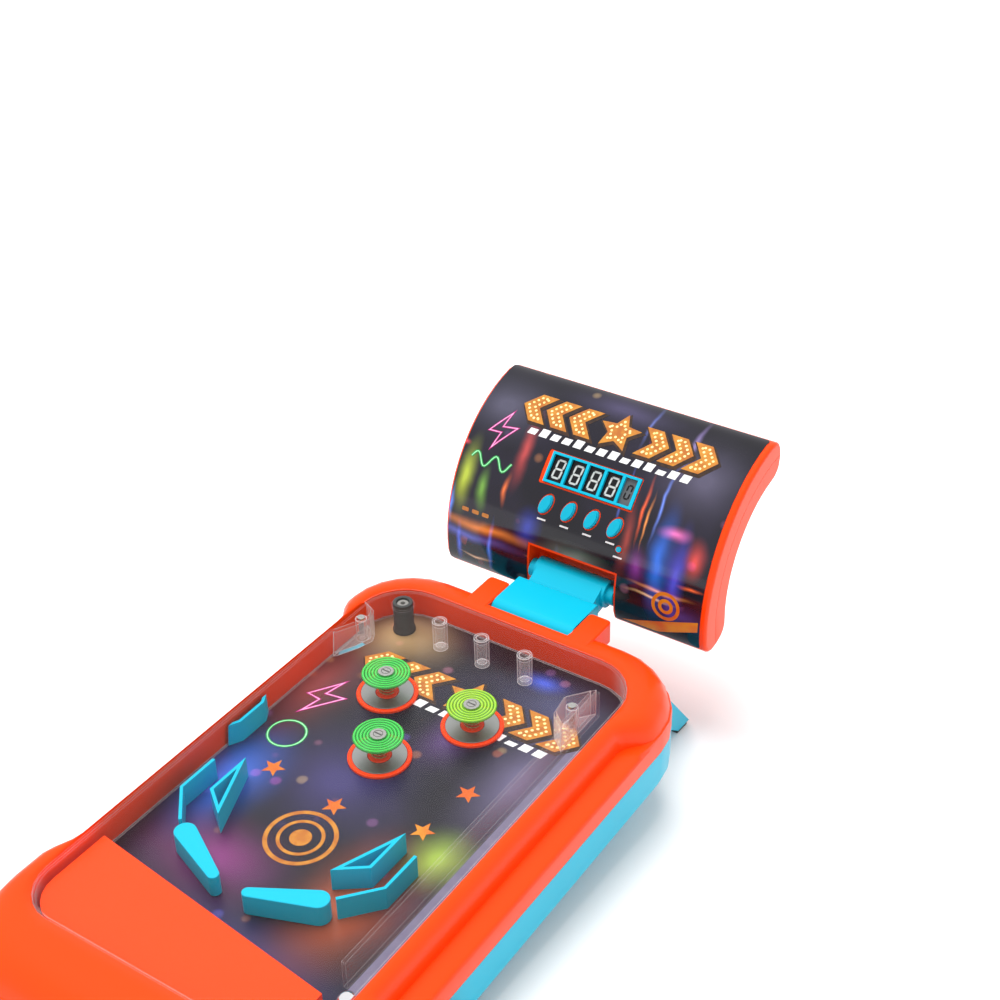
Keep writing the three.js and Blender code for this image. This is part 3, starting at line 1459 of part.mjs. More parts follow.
function makeKey(number) {
  const flangeTop = headFrontRadius - headWall - 3 * gap;
  const flangeFoot = flangeTop - keyFlangeThickness;
  const stemFoot = boardDistanceAt(keyRowDegrees) + keyTravel + 2 * gap;
  const crown = headFrontRadius + keyProud;
  const degrees = keyRowDegrees;
  const x = keyX(number);
  const cap = keyPrism(0, flangeFoot, crown - keyRound);
  const dome = keyPrism(-keyRound, crown - 2 * keyRound, crown);
  const flange = keyPrism(keyFlange, flangeFoot, flangeTop);
  const stem = new THREE.CylinderGeometry(keyStemRadius, keyStemRadius, flangeTop - stemFoot, smallSides);
  stem.rotateX(Math.PI / 2).translate(0, 0, (flangeTop + stemFoot) / 2);
  return union([cap, dome, flange, stem].map((geometry) => onPanel(geometry, degrees, 0, x)));
}

function makeResetKey() {
  const flangeTop = headFrontRadius - headWall - 2 * gap;
  const stemFoot = boardDistanceAt(resetDegrees) + keyTravel + 2 * gap;
  const profile = [
    [0, stemFoot], [resetRadius / 2, stemFoot], [resetRadius / 2, flangeTop - keyFlangeThickness],
    [resetRadius + keyFlange / 2, flangeTop - keyFlangeThickness], [resetRadius + keyFlange / 2, flangeTop],
    [resetRadius, flangeTop], [resetRadius, headFrontRadius + resetProud], [0, headFrontRadius + resetProud],
  ];
  const points = profile.map(([radius, height]) => new THREE.Vector2(radius, height));
  const round = new THREE.LatheGeometry(points, smallSides).rotateX(Math.PI / 2);
  return onPanel(round, resetDegrees, 0, resetX);
}

function makeSpeaker() {
  const seat = headBackRadius + headWall + gap;
  const profile = [
    [0, seat], [speakerRadius, seat], [speakerRadius, seat + speakerDepth / 3],
    [speakerRadius / 2, seat + speakerDepth * 0.6], [speakerRadius / 2, seat + speakerDepth], [0, seat + speakerDepth],
  ];
  const points = profile.map(([radius, height]) => new THREE.Vector2(radius, height));
  const round = new THREE.LatheGeometry(points, roundSides).rotateX(Math.PI / 2);
  return onPanel(round, speakerDegrees, 0, speakerX);
}

// Power

const cellZ = -baseDepth + bayDepth - gap - cellRadius;

function makeBattery(row) {
  const y = bayCentreY + row * (cellRadius + gap / 2);
  const can = rodX(-cellLength / 2, cellLength / 2 - cellNubLength, y, cellZ, cellRadius);
  const nub = rodX(0, cellLength / 2, y, cellZ, cellNubRadius, smallSides);
  const turnedCell = can.add(nub);
  return row > 0 ? turnedCell : turnedCell.mirror([1, 0, 0]);
}

function makeBatteryDoor() {
  const half = bayHalfLength - gap;
  const plate = block(
    -half, half, bayCentreY - bayHalfWidth + gap, bayCentreY + bayHalfWidth - gap, -baseDepth,
    -baseDepth + doorThickness);
  const ribTop = cellZ - cellRadius - gap;
  const ribs = [-doorRibX, doorRibX].map((x) => block(
    x - doorRibThickness / 2, x + doorRibThickness / 2, bayCentreY - bayHalfWidth + 2 * gap,
    bayCentreY + bayHalfWidth - 2 * gap, -baseDepth + doorThickness / 2, ribTop));
  const notch = rodZ(
    0, bayCentreY - bayHalfWidth, -baseDepth - overrun, -baseDepth + doorThickness / 2, doorNotchRadius);
  return cut(union([plate, ...ribs]), [notch]);
}

// Legs and feet

function legShape(skin) {
  const foot = floorZ(legFootY) + padThickness + gap;
  const front = floorZ(legFootY - legFootLength) + padThickness + gap;
  const corners = [
    [legRootY, legTopZ], [legTopY, legTopZ], [legFootY, foot], [legFootY - legFootLength, front],
    [legRootY, legRootZ],
  ];
  return shapeOf(skin > 0 ? insetCorners(corners, skin) : corners);
}

function makeLeg(side) {
  const x0 = side > 0 ? legOuterX - legWidth : -legOuterX;
  const x1 = x0 + legWidth;
  const blank = prismX(legShape(0), x0, x1);
  const roomX0 = side > 0 ? x0 - overrun : x0 + legSkin;
  const roomX1 = side > 0 ? x1 - legSkin : x1 + overrun;
  const room = prismX(legShape(legSkin), roomX0, roomX1);
  const rib = prismX(shapeOf([
    [legRootY, (legTopZ + legRootZ) / 2 + legSkin / 2], [legFootY, floorZ(legFootY) / 2 + legRootZ / 2],
    [legFootY, floorZ(legFootY) / 2 + legRootZ / 2 - legSkin], [legRootY, (legTopZ + legRootZ) / 2 - legSkin / 2],
  ]), x0, x1).intersect(blank);
  return cut(cut(blank, [room]).add(rib), [baseOuter(gap)]);
}

function makeLegPad(side) {
  const x0 = side > 0 ? legOuterX - legWidth : -legOuterX;
  const [back, front] = [legFootY - padMargin, legFootY - legFootLength + padMargin];
  const shape = shapeOf([
    [front, floorZ(front)], [back, floorZ(back)], [back, floorZ(back) + padThickness],
    [front, floorZ(front) + padThickness],
  ]);
  return prismX(shape, x0 + padMargin, x0 + legWidth - padMargin);
}

function makeFrontFoot(side) {
  const z1 = -baseDepth - gap;
  const pad = rodZ(side * footX, footY, z1 - 2 * footThickness, z1, footRadius);
  return cut(pad, [belowFloor()]);
}

// Assembly

const deck = new THREE.Group();
deck.rotation.x = tilt;

function add(name, body, look) {
  const mesh = new THREE.Mesh(geometryOf(body), new THREE.MeshStandardMaterial(look));
  mesh.name = name;
  deck.add(mesh);
}

add('base_shell', makeBaseShell(), cyanPlastic);
add('top_frame', makeTopFrame(), orangePlastic);
add('playfield_panel', makePlayfieldPanel(), printedBoard);
add('clear_cover', makeClearCover(), clearPlastic);
add('cover_skirt', makeCoverSkirt(), clearPlastic);
add('lane_divider', makeLaneDivider(), clearPlastic);
add('apron', makeApron(), orangePlastic);
add('rubber_post', makeRubberPost(), blackRubber);
add('rubber_post_core', makeRubberPostCore(), clearPlastic);

bumperPlaces.forEach((place, k) => {
  const name = `bumper_${k + 1}`;
  add(`${name}_base`, makeBumperBase(place), orangePlastic);
  add(`${name}_plate`, makeBumperPlate(place), steel);
  add(`${name}_spring`, makeBumperSpring(k + 1, place), springBrass);
  add(`${name}_stem`, makeBumperStem(place), greyPlastic);
  add(`${name}_disc`, makeBumperDisc(place), k % 2 === 0 ? greenPlastic : limePlastic);
});

for (const [side, word] of [[-1, 'left'], [1, 'right']]) {
  add(`${word}_flipper`, makeFlipper(side), cyanPlastic);
  add(`${word}_crank`, makeCrank(side), greyPlastic);
  add(`${word}_button`, makeButton(side), orangePlastic);
  add(`${word}_button_spring`, makeButtonSpring(side), steel);
  add(`${word}_rear_leg`, makeLeg(side), cyanPlastic);
  add(`${word}_leg_pad`, makeLegPad(side), blackRubber);
  add(`${word}_front_foot`, makeFrontFoot(side), blackRubber);
}

add('plunger_rod', makePlungerRod(), steel);
add('plunger_knob', makePlungerKnob(), orangePlastic);
add('plunger_bush', makePlungerBush(), blackPlastic);
add('plunger_spring', makePlungerSpring(), steel);
add('steel_ball', makeBall(), steel);

add('link_arm', makeLinkArm(), cyanPlastic);
add('link_pin', makeLinkPin(), steel);
add('head_pin', makeHeadPin(), steel);
add('head_front_shell', makeHeadFront(), orangePlastic);
add('head_back_shell', makeHeadBack(), orangePlastic);
add('display_bezel', makeDisplayBezel(), cyanPlastic);
add('display_module', makeDisplayModule(), blackPlastic);
add('circuit_board', makeCircuitBoard(), boardGreen);
for (let k = 0; k < keyCount; k += 1) {
  add(`key_${k + 1}`, makeKey(k), cyanPlastic);
}
add('reset_key', makeResetKey(), cyanPlastic);
add('speaker', makeSpeaker(), blackPlastic);

add('battery_1', makeBattery(-1), cellJacket);
add('battery_2', makeBattery(1), cellJacket);
add('battery_door', makeBatteryDoor(), cyanPlastic);

// The origin is the middle of the footprint box, on the plane that the feet stand on
const group = new THREE.Group();
group.add(deck);
group.updateMatrixWorld(true);
const box = new THREE.Box3().setFromObject(group, true);
const middle = box.getCenter(new THREE.Vector3());
group.position.set(-middle.x, -middle.y, -box.min.z);
group.updateMatrixWorld(true);

export default group;
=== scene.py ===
"""Finishes, printed sheets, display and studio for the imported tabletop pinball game."""
import json
import math
from collections import namedtuple
from contextlib import contextmanager
from math import cos, hypot, pi, radians, sin

import bmesh
import bpy
import numpy as np
from mathutils import Matrix, Vector
from mathutils.geometry import delaunay_2d_cdt


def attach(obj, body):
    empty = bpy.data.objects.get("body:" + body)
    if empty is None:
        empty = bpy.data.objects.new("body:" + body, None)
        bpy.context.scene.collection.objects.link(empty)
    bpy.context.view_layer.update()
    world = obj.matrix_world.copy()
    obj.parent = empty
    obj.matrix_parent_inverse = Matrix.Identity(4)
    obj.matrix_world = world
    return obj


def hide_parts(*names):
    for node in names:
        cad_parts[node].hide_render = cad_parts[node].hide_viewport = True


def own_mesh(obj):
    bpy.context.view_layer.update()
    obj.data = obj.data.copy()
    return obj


bl_info = {
    "name": "Tabletop Pinball Game Dresser",
    "version": (1, 0, 0),
    "blender": (4, 5, 0),
    "location": "View3D > Sidebar > Pinball",
    "description": "Builds the finishes, printed sheets, display and studio around the packed pinball game",
    "category": "Object",
}

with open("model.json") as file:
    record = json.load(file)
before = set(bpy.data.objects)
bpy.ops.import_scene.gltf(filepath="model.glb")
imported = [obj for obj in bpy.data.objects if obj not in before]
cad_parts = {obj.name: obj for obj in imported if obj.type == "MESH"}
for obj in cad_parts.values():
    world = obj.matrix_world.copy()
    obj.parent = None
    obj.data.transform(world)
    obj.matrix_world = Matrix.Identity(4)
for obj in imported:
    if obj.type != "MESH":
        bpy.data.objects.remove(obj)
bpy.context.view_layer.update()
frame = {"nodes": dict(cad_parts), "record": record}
MM = 0.001
BODY_OF = {node: body for body, nodes in frame["record"]["behaviour"]["bodies"].items() for node in nodes}

# The deck's own frame: x right, y back, z up from the playing surface, in millimetres
DECK_TILT = Matrix.Rotation(radians(4.5), 3, "X")
DECK_ORIGIN = Vector((0, 93.764361, 61.50734))

# Score panel, from the same sizes as the solids
BEND_Y, BEND_Z = 166.7, 17.1
PANEL_RADIUS = 89.6
PANEL_FOOT_DEGREES, PANEL_TOP_DEGREES = -15.2, 90
PANEL_END_ROUND = 14
PANEL_HALF_WIDTH = 93.3
PARTING_RADIUS = 77
DISPLAY_DEGREES = 43.4
WINDOW_WIDTHS = (10.6, 10.6, 10.6, 10.6, 8.3)
WINDOW_BAR = 1.9
WINDOW_HEIGHT = 16.6
BEZEL_WIDTH, BEZEL_EDGE, BEZEL_PROUD, BEZEL_THICKNESS = 61.9, 1.5, 0.8, 2
DISPLAY_GAP = 0.3
DISPLAY_FACE = PANEL_RADIUS + BEZEL_PROUD - BEZEL_THICKNESS - DISPLAY_GAP
KEY_DEGREES, KEY_PITCH = 28.8, 16.2
KEY_LENGTH, KEY_WIDTH, KEY_SLANT = 13.1, 7.2, 23
KEY_PLACES = [(k - 1.5) * KEY_PITCH for k in range(4)]
RESET_DEGREES, RESET_X, RESET_HOLE = 21.3, 30, 5
NOTCH_HALF_WIDTH, NOTCH_TOP_DEGREES = 31.7, 11.6
BACK_SHELL_RADIUS = 62.8

# Opening of the playfield and what stands in it
PLAY_LEFT, PLAY_RIGHT, PLAY_BACK, PLAY_FRONT = -93.7, 85.3, 20.4, -292
PLAY_BACK_RADIUS, PLAY_FRONT_RADIUS = 30, 24
FLIPPER_SHAFTS, FLIPPER_Y, SHAFT_HOLE = (-57.2, 30.3), -208, 7.6
DISC_RADIUS, DISC_RIDGES, DISC_HUB = 14.2, 5, 5
DISC_PITCH = (DISC_RADIUS - DISC_HUB) / DISC_RIDGES
BUMPERS = ((-44.654, -52.077), (13.342, -49.89), (-15.656, -98))
POST = (-72.5, 2.5)
LANE_X, LANE_HEIGHT, LANE_FRONT = 77.3, 5.8, -292.1
BALL_Y, BALL_RADIUS = -246.2, 5.5
BUTTON_Y, BUTTON_Z = -214.75, -19

# Heights above the playing surface, and thicknesses
COVER_UNDERSIDE, COVER_TOP, COVER_FOOT = 17.9, 19.5, 1.2
CAP_UNDERSIDE, CAP_TOP = 16.62, 17.35
BOARD_TOP = 0.3
PANEL_FILM_LIFT, FIELD_FILM_LIFT = 0.24, 0.12
PANEL_FILM, FIELD_FILM, INK, INK_STEP = 0.12, 0.06, 0.03, 0.04
WELD = 0.000002

# Screws: x and y in the deck, and angle up the back of the score panel
COVER_BOSSES = ((-87.614, -19.587), (61.672, -21.462))
BASE_WELLS = ((-100.28, -110.75), (100.28, -110.75), (-83.93, 24.25), (83.93, 24.25), (-83.93, -311.75),
              (56.68, -315.875))
PANEL_WELL_X, PANEL_WELL_DEGREES = (-82, 82), (4, 74)

# The photograph's camera in the deck's frame
CAMERA_PLACE = (437.275, -640.399, 628.579)
CAMERA_RIGHT = Vector((0.8332986, 0.5525242, -0.0181771))
CAMERA_DOWN = Vector((0.2901157, -0.4650587, -0.8363930))
CAMERA_FORWARD = Vector((-0.4705809, 0.6916917, -0.5478287))

# Lights of the printed sheets: x, y, reach across and up in millimetres on the sheet, and colour
PANEL_LIGHTS = (
    (-72, 100, 46, 34, "4C4A5C"), (70, 92, 44, 40, "504C60"), (2, 122, 60, 16, "3A3550"),
    (-80, 50, 9, 30, "B4C838"), (-66, 44, 6, 20, "6FA63A"), (-62, 20, 60, 6, "E0862C"),
    (-74, 12, 54, 6, "5360BC"), (-46, 76, 7, 34, "B0403A"), (-30, 30, 12, 16, "2A3CA8"),
    (4, 22, 34, 10, "6E7468"), (36, 44, 6, 34, "96382C"), (46, 30, 10, 18, "7A2F86"),
    (60, 36, 11, 44, "2C6FE0"), (72, 30, 9, 40, "4A49C8"), (82, 44, 10, 16, "D8483C"),
    (66, 56, 14, 6, "E06AA8"), (78, 8, 30, 12, "3A2F6E"), (30, 8, 26, 9, "4A3A2A"),
    (-86, 30, 2.5, 18, "5A8CF8"), (-79, 4, 3, 20, "4A6CE8"), (-55, 8, 2.4, 24, "4E7EF0"),
    (-50, 48, 2.6, 14, "F0742A"), (-88, 70, 6, 2.4, "F04A5A"), (-66, -2, 16, 1.8, "E8C8A0"),
    (-8, 6, 3, 22, "7A96D8"), (12, 2, 2.2, 20, "8AAAE8"), (-20, 12, 12, 2, "E89A4A"),
    (42, 64, 1.8, 28, "F0602C"), (46, 58, 1.3, 22, "F89A4A"), (52, 70, 1.7, 30, "6A88E8"),
    (27, 68, 1.5, 26, "5A74D8"), (64, 20, 28, 2.2, "F8A848"), (58, 14.5, 22, 1.7, "F0C888"),
    (84, 27, 12, 1.8, "F0682C"), (54, 112, 3, 32, "7A6A9A"), (22, 118, 2, 26, "4E5C9A"))
PLAYFIELD_LIGHTS = (
    (-66, 2, 52, 44, "AC8E62"), (-84, -60, 40, 70, "7E3A34"), (48, -6, 56, 40, "3A3C58"),
    (30, 8, 22, 12, "3450B8"), (62, -70, 34, 80, "5A5470"), (-20, -120, 60, 60, "352F60"),
    (-70, -150, 34, 60, "2F5FC0"), (-40, -200, 60, 40, "7A2F6A"), (40, -190, 40, 70, "A8502C"),
    (60, -140, 26, 30, "8CA838"), (0, -250, 120, 40, "3A2F6E"), (10, -60, 24, 40, "4A3060"))


def linear(code):
    """The linear colour of an sRGB hex code such as "FF4B14"."""
    values = [int(code[k:k + 2], 16) / 255 for k in (0, 2, 4)]
    return tuple(v / 12.92 if v <= 0.04045 else ((v + 0.055) / 1.055) ** 2.4 for v in values)


def deck(x, y, z):
    """A place in the deck's frame, in millimetres, as a point in metres."""
    return (DECK_TILT @ Vector((x, y, z)) + DECK_ORIGIN) * MM


def deck_direction(x, y, z):
    """A direction of the deck's frame in the game's frame."""
    return DECK_TILT @ Vector((x, y, z))


def deck_place(point):
    """The deck's own x, y and z, in millimetres, of a point in metres."""
    return DECK_TILT.transposed() @ (Vector(point) / MM - DECK_ORIGIN)


def arc_of(degrees):
    """Length up the panel's curve at an angle about the bend axis."""
    return PANEL_RADIUS * radians(degrees)


def about_bend(angle, radius):
    """Back and up of a place about the bend axis."""
    return Vector((BEND_Y - radius * cos(angle), BEND_Z + radius * sin(angle)))


def panel_outline(arc):
    """Back and up of a place along the panel's front, and its outward direction. Both ends round away."""
    foot, top = arc_of(PANEL_FOOT_DEGREES) + PANEL_END_ROUND, arc_of(PANEL_TOP_DEGREES) - PANEL_END_ROUND
    plain = min(max(arc, foot), top)
    angle = plain / PANEL_RADIUS
    start = about_bend(angle, PANEL_RADIUS)
    if arc == plain:
        return start, Vector((-cos(angle), sin(angle)))
    tip_angle = radians(PANEL_TOP_DEGREES if arc > plain else PANEL_FOOT_DEGREES)
    tip, end = about_bend(tip_angle, PANEL_RADIUS), about_bend(tip_angle, PANEL_RADIUS - PANEL_END_ROUND)
    t = min(abs(arc - plain) / (2 * PANEL_END_ROUND), 1)
    place = start * (1 - t) ** 2 + tip * 2 * t * (1 - t) + end * t * t
    way = ((tip - start) * (1 - t) + (end - tip) * t).normalized()
    outward = Vector((-way.y, way.x)) if arc > plain else Vector((way.y, -way.x))
    return place, outward


def panel(x, arc, lift=0):
    """A place on the score panel: x across and arc up its curve from the bend, in millimetres."""
    place, outward = panel_outline(arc)
    return deck(x, place.x + lift * outward.x, place.y + lift * outward.y)


def panel_film(x, arc, lift=0):
    """A place just over the score panel's film."""
    return panel(x, arc, PANEL_FILM_LIFT + lift)


def field_film(x, y, lift=0):
    """A place just over the playfield's film."""
    return deck(x, y, FIELD_FILM_LIFT + lift)


def panel_facing(arc):
    """Outward direction of the score panel's front at a place up its curve."""
    outward = panel_outline(arc)[1]
    return deck_direction(0, outward.x, outward.y)


Sheet = namedtuple("Sheet", "name film facing body")
PANEL = Sheet("panel", panel_film, panel_facing, "head")
FIELD = Sheet("field", field_film, lambda y: deck_direction(0, 0, 1), "body")


def display_point(x, up, lift=0):
    """A place over the flat plane that crosses the panel at the display's angle."""
    angle, distance = radians(DISPLAY_DEGREES), DISPLAY_FACE + lift
    y = BEND_Y - distance * cos(angle) + up * sin(angle)
    return deck(x, y, BEND_Z + distance * sin(angle) + up * cos(angle))


# Node trees

def feed(tree, node, links):
    """Links sockets, or the first outputs of nodes, to a node's inputs by name."""
    for name, source in links.items():
        tree.links.new(getattr(source, "outputs", [source])[0], node.inputs[name])


def add_node(tree, kind, settings=None, links=None):
    """Adds a node, sets its inputs or fields by name and links its inputs to others."""
    node = tree.nodes.new(kind)
    for name, value in (settings or {}).items():
        if isinstance(name, int) or name in node.inputs:
            node.inputs[name].default_value = value
        else:
            setattr(node, name, value)
    feed(tree, node, links or {})
    return node


def new_material(name, settings=None):
    """The tree and Principled shader of a new material, with plain values set on the shader's sockets."""
    material = bpy.data.materials.new(name)
    material.use_nodes = True
    shader = material.node_tree.nodes["Principled BSDF"]
    for key, value in (settings or {}).items():
        shader.inputs[key].default_value = value
    return material.node_tree, shader


def ramp(tree, factor, stops):
    """A colour ramp over the factor, from a list of places and colours."""
    node = add_node(tree, "ShaderNodeValToRGB", links={"Fac": factor})
    elements = node.color_ramp.elements
    while len(elements) < len(stops):
        elements.new(1)
    for element, (place, colour) in zip(elements, stops):
        element.position = place
        element.color = (*colour, 1)
    return node


def mixed(tree, blend, first, second):
    """Two colours blended in full."""
    return add_node(tree, "ShaderNodeMix", {"data_type": "RGBA", "blend_type": blend, 0: 1},
                    {6: first, 7: second}).outputs[2]


def grey(value):
    """A grey of one value."""
    return (value, value, value)


def object_place(tree):
    """Object coordinates, in metres."""
    return add_node(tree, "ShaderNodeTexCoord").outputs["Object"]


def noise(tree, place, size_mm, detail=2, stretch=None):
    """Noise whose features are about size_mm across, drawn out along an axis by stretch."""
    if stretch:
        place = add_node(tree, "ShaderNodeMapping", {"Scale": stretch}, {"Vector": place})
    settings = {"Scale": 1 / (size_mm * MM), "Detail": detail}
    return add_node(tree, "ShaderNodeTexNoise", settings, {"Vector": place})


def finish_surface(tree, shader, colour, grain_mm, grain_depth_mm, rough_low, rough_high, shade):
    """Colour that varies a little, roughness in patches and fine grain for a moulded surface."""
    place = object_place(tree)
    darker = tuple(v * shade for v in colour)
    bump = add_node(tree, "ShaderNodeBump", {"Strength": 0.5, "Distance": grain_depth_mm * MM},
                    {"Height": noise(tree, place, grain_mm)})
    feed(tree, shader, {
        "Base Color": ramp(tree, noise(tree, place, 28), [(0.3, darker), (0.7, colour)]),
        "Roughness": ramp(tree, noise(tree, place, 14), [(0.3, grey(rough_low)), (0.7, grey(rough_high))]),
        "Normal": bump})


# Materials

def moulded_abs(name, colour):
    """ABS, injection moulded in a polished tool: even colour and a soft broad highlight."""
    tree, shader = new_material(name, {"IOR": 1.53, "Specular IOR Level": 0.2})
    finish_surface(tree, shader, colour, 1.2, 0.0006, 0.29, 0.31, 0.98)


def moulded_rubber(name, colour):
    """Rubber, moulded and dusty: dark, with a wide dull highlight."""
    tree, shader = new_material(name)
    finish_surface(tree, shader, colour, 0.7, 0.02, 0.62, 0.78, 0.8)


def tinted_polystyrene(name, ridge, groove):
    """Polystyrene tinted through and moulded in round ridges, coloured lighter on each ridge's crest as a
    painted highlight and darker in the grooves as painted shade.
    """
    tree, shader = new_material(name, {"IOR": 1.59, "Roughness": 0.16})
    ring = add_node(tree, "ShaderNodeAttribute", {"attribute_name": "radius"})
    inward = add_node(tree, "ShaderNodeMath", {
        "operation": "MULTIPLY_ADD", 1: -1 / (DISC_PITCH * MM), 2: DISC_RADIUS / DISC_PITCH},
        {0: ring.outputs["Fac"]})
    part = add_node(tree, "ShaderNodeMath", {"operation": "FRACT"}, {0: inward})
    # Painted light by radius: the crest colour is a painted highlight and the groove colour is painted shade
    crest_highlight = tuple(min(1, v * 1.35) for v in ridge)
    stops = [(0, groove), (0.3, ridge), (0.52, crest_highlight), (0.72, ridge), (1, groove)]
    feed(tree, shader, {
        "Base Color": ramp(tree, part, stops),
        "Alpha": ramp(tree, part, [(0, grey(0.62)), (0.5, grey(0.88)), (1, grey(0.62))])})


def clear_polystyrene(name, colour, faced, edged, rim_mm):
    """Clear polystyrene, moulded: almost unseen face on, with a painted white highlight at its edges and
    where it is seen edge on.
    """
    settings = {"Roughness": 0.05, "IOR": 1.59, "Base Color": (*colour, 1)}
    tree, shader = new_material(name, settings)
    facing = add_node(tree, "ShaderNodeLayerWeight", {"Blend": 0.3})
    # Painted highlight: the white grows opaque towards glancing angles and near edges, standing in for the
    # light clear plastic throws back there
    slope = ramp(tree, facing.outputs["Facing"], [
        (0, grey(faced)), (0.34, grey(faced * 1.3)), (0.5, grey(edged * 0.4)), (0.68, grey(edged))])
    eased = add_node(tree, "ShaderNodeBevel", {"Radius": rim_mm * MM, "samples": 6})
    true = add_node(tree, "ShaderNodeNewGeometry")
    turn = add_node(tree, "ShaderNodeVectorMath", {"operation": "DOT_PRODUCT"},
                    {0: eased, 1: true.outputs["Normal"]})
    rim = ramp(tree, turn.outputs["Value"], [(0.82, grey(edged)), (0.985, grey(0))])
    feed(tree, shader, {"Alpha": mixed(tree, "LIGHTEN", slope, rim)})


def steel(name, colour, roughness, grain_mm, stretch):
    """Steel with the fine lines that drawing, stamping or brushing leaves."""
    tree, shader = new_material(name, {"Metallic": 1})
    lines = noise(tree, object_place(tree), grain_mm, 3, stretch)
    dull = tuple(v * 0.82 for v in colour)
    feed(tree, shader, {
        "Base Color": ramp(tree, lines, [(0.3, dull), (0.7, colour)]),
        "Roughness": ramp(tree, lines, [(0.3, grey(roughness * 0.7)), (0.7, grey(roughness * 1.3))])})


def printed_sheet(name, lights, roughness):
    """Film printed with a night scene far out of focus: soft lights and small discs on a dark ground."""
    tree, shader = new_material(name, {"Roughness": roughness, "Specular IOR Level": 0.42})
    place = add_node(tree, "ShaderNodeUVMap", {"uv_map": "Sheet"})
    wander = add_node(tree, "ShaderNodeTexNoise", {"Scale": 1 / (26 * MM), "Detail": 2}, {"Vector": place})
    moved = add_node(tree, "ShaderNodeMix", {"data_type": "VECTOR", 0: 7 * MM},
                     {4: place, 5: wander.outputs["Color"]})
    total = ramp(tree, noise(tree, place, 70, 3), [
        (0.3, linear("07050E")), (0.48, linear("120F1C")), (0.6, linear("1D182A")), (0.75, linear("0C0A15"))])
    for x, y, width, height, code in lights:
        spot = add_node(tree, "ShaderNodeMapping", {
            "vector_type": "TEXTURE", "Location": (x * MM, y * MM, 0),
            "Scale": (width * MM, height * MM, 1)}, {"Vector": moved.outputs[1]})
        glow = add_node(tree, "ShaderNodeTexGradient", {"gradient_type": "QUADRATIC_SPHERE"},
                        {"Vector": spot})
        strong = add_node(tree, "ShaderNodeMath", {"operation": "MULTIPLY", 1: 1.25},
                          {0: glow.outputs["Fac"]})
        total = add_node(tree, "ShaderNodeMix", {
            "data_type": "RGBA", "blend_type": "ADD", 7: (*linear(code), 1)},
            {0: strong, 6: total}).outputs[2]
    cells = add_node(tree, "ShaderNodeTexVoronoi", {"Scale": 1 / (13 * MM)}, {"Vector": place})
    discs = ramp(tree, cells.outputs["Distance"], [(0.16, grey(1)), (0.3, grey(0))])
    lot = add_node(tree, "ShaderNodeSeparateColor", links={"Color": cells.outputs["Color"]})
    chosen = ramp(tree, lot.outputs["Red"], [(0.8, grey(0)), (0.84, grey(0.16))])
    hues = ramp(tree, lot.outputs["Green"], [
        (0, linear("4A7BFF")), (0.3, linear("FF7A3A")), (0.6, linear("FFD98A")), (0.9, linear("E05ACB"))])
    dots = mixed(tree, "MULTIPLY", mixed(tree, "MULTIPLY", discs, chosen), hues)
    feed(tree, shader, {"Base Color": mixed(tree, "ADD", total, dots)})


def printed_ink(name, colour, second, size_mm):
    """Screen-printed ink: flat colour with a slight unevenness between its two shades."""
    tree, shader = new_material(name, {"Roughness": 0.3})
    patches = noise(tree, object_place(tree), size_mm)
    feed(tree, shader, {"Base Color": ramp(tree, patches, [(0.35, second), (0.65, colour)])})


def materials(context):
    """Every finish of the game, made once from the colours in the sidebar."""
    looks = context.scene.pinball_finish
    if "moulded_abs_orange" in bpy.data.materials:
        return
    for name, colour in (
            ("moulded_abs_orange", looks.orange), ("moulded_abs_cyan", looks.cyan),
            ("moulded_abs_grey", linear("8C8A86")), ("moulded_abs_black", linear("17171A")),
            ("window_grey_abs", linear("5F6265")), ("solder_mask_green", linear("1C6B3A")),
            ("cell_jacket_film", linear("303338"))):
        moulded_abs(name, tuple(colour))
    moulded_rubber("moulded_rubber_black", linear("464746"))
    # The clear finishes paint a white highlight at edges and glancing angles; the second one paints it
    # stronger
    clear_polystyrene("clear_polystyrene", linear("F4F2F4"), looks.cover_haze, 0.35, 0.5)
    clear_polystyrene("clear_polystyrene_thick", linear("F6F0F0"), looks.post_haze, 0.9, 0.9)
    # The second colour of each bumper disc is the painted shade in its grooves
    tinted_polystyrene("tinted_polystyrene_green", tuple(looks.green), linear("0A8C2E"))
    tinted_polystyrene("tinted_polystyrene_lime", tuple(looks.lime), linear("40930B"))
    for name, code, roughness, grain_mm, stretch in (
            ("stamped_steel", "B9BCBA", 0.4, 3, (1, 14, 1)), ("polished_steel", "DADCE0", 0.07, 2, None),
            ("drawn_brass_wire", "B98A55", 0.25, 1, None), ("nickelled_steel", "C9C8C4", 0.2, 1, None)):
        steel(name, linear(code), roughness, grain_mm, stretch)
    printed_sheet("varnished_film_panel", PANEL_LIGHTS, 0.11)
    printed_sheet("satin_film_playfield", PLAYFIELD_LIGHTS, 0.32)
    for name, code, second, size_mm in (
            ("gold_ink", "C78427", "AE6219", 6), ("pale_gold_ink", "FFF3B0", "FFE08A", 3),
            ("brown_ink", "3A2212", "24140C", 3), ("white_ink", "F4F4F2", "E4E4E6", 3),
            ("pink_ink", "D23692", "AE2576", 3), ("pale_pink_ink", "FFC4EA", "FFAADF", 3),
            ("green_ink", "259C4C", "18823A", 3), ("pale_green_ink", "B4FFC4", "98F7B0", 3),
            ("amber_ink", "D58518", "CE5A10", 12), ("lavender_ink", "726E85", "68647D", 8),
            # cap_shade is the painted shade of the caps' groove and slot
            ("cyan_ink", "38B8D0", "2AA2BC", 3), ("cap_shade", "4A4844", "3A3835", 3),
            ("lcd_segment_ink", "C9CCC9", "BFC3C0", 3)):
        printed_ink(name, linear(code), linear(second), size_mm)


# Pieces

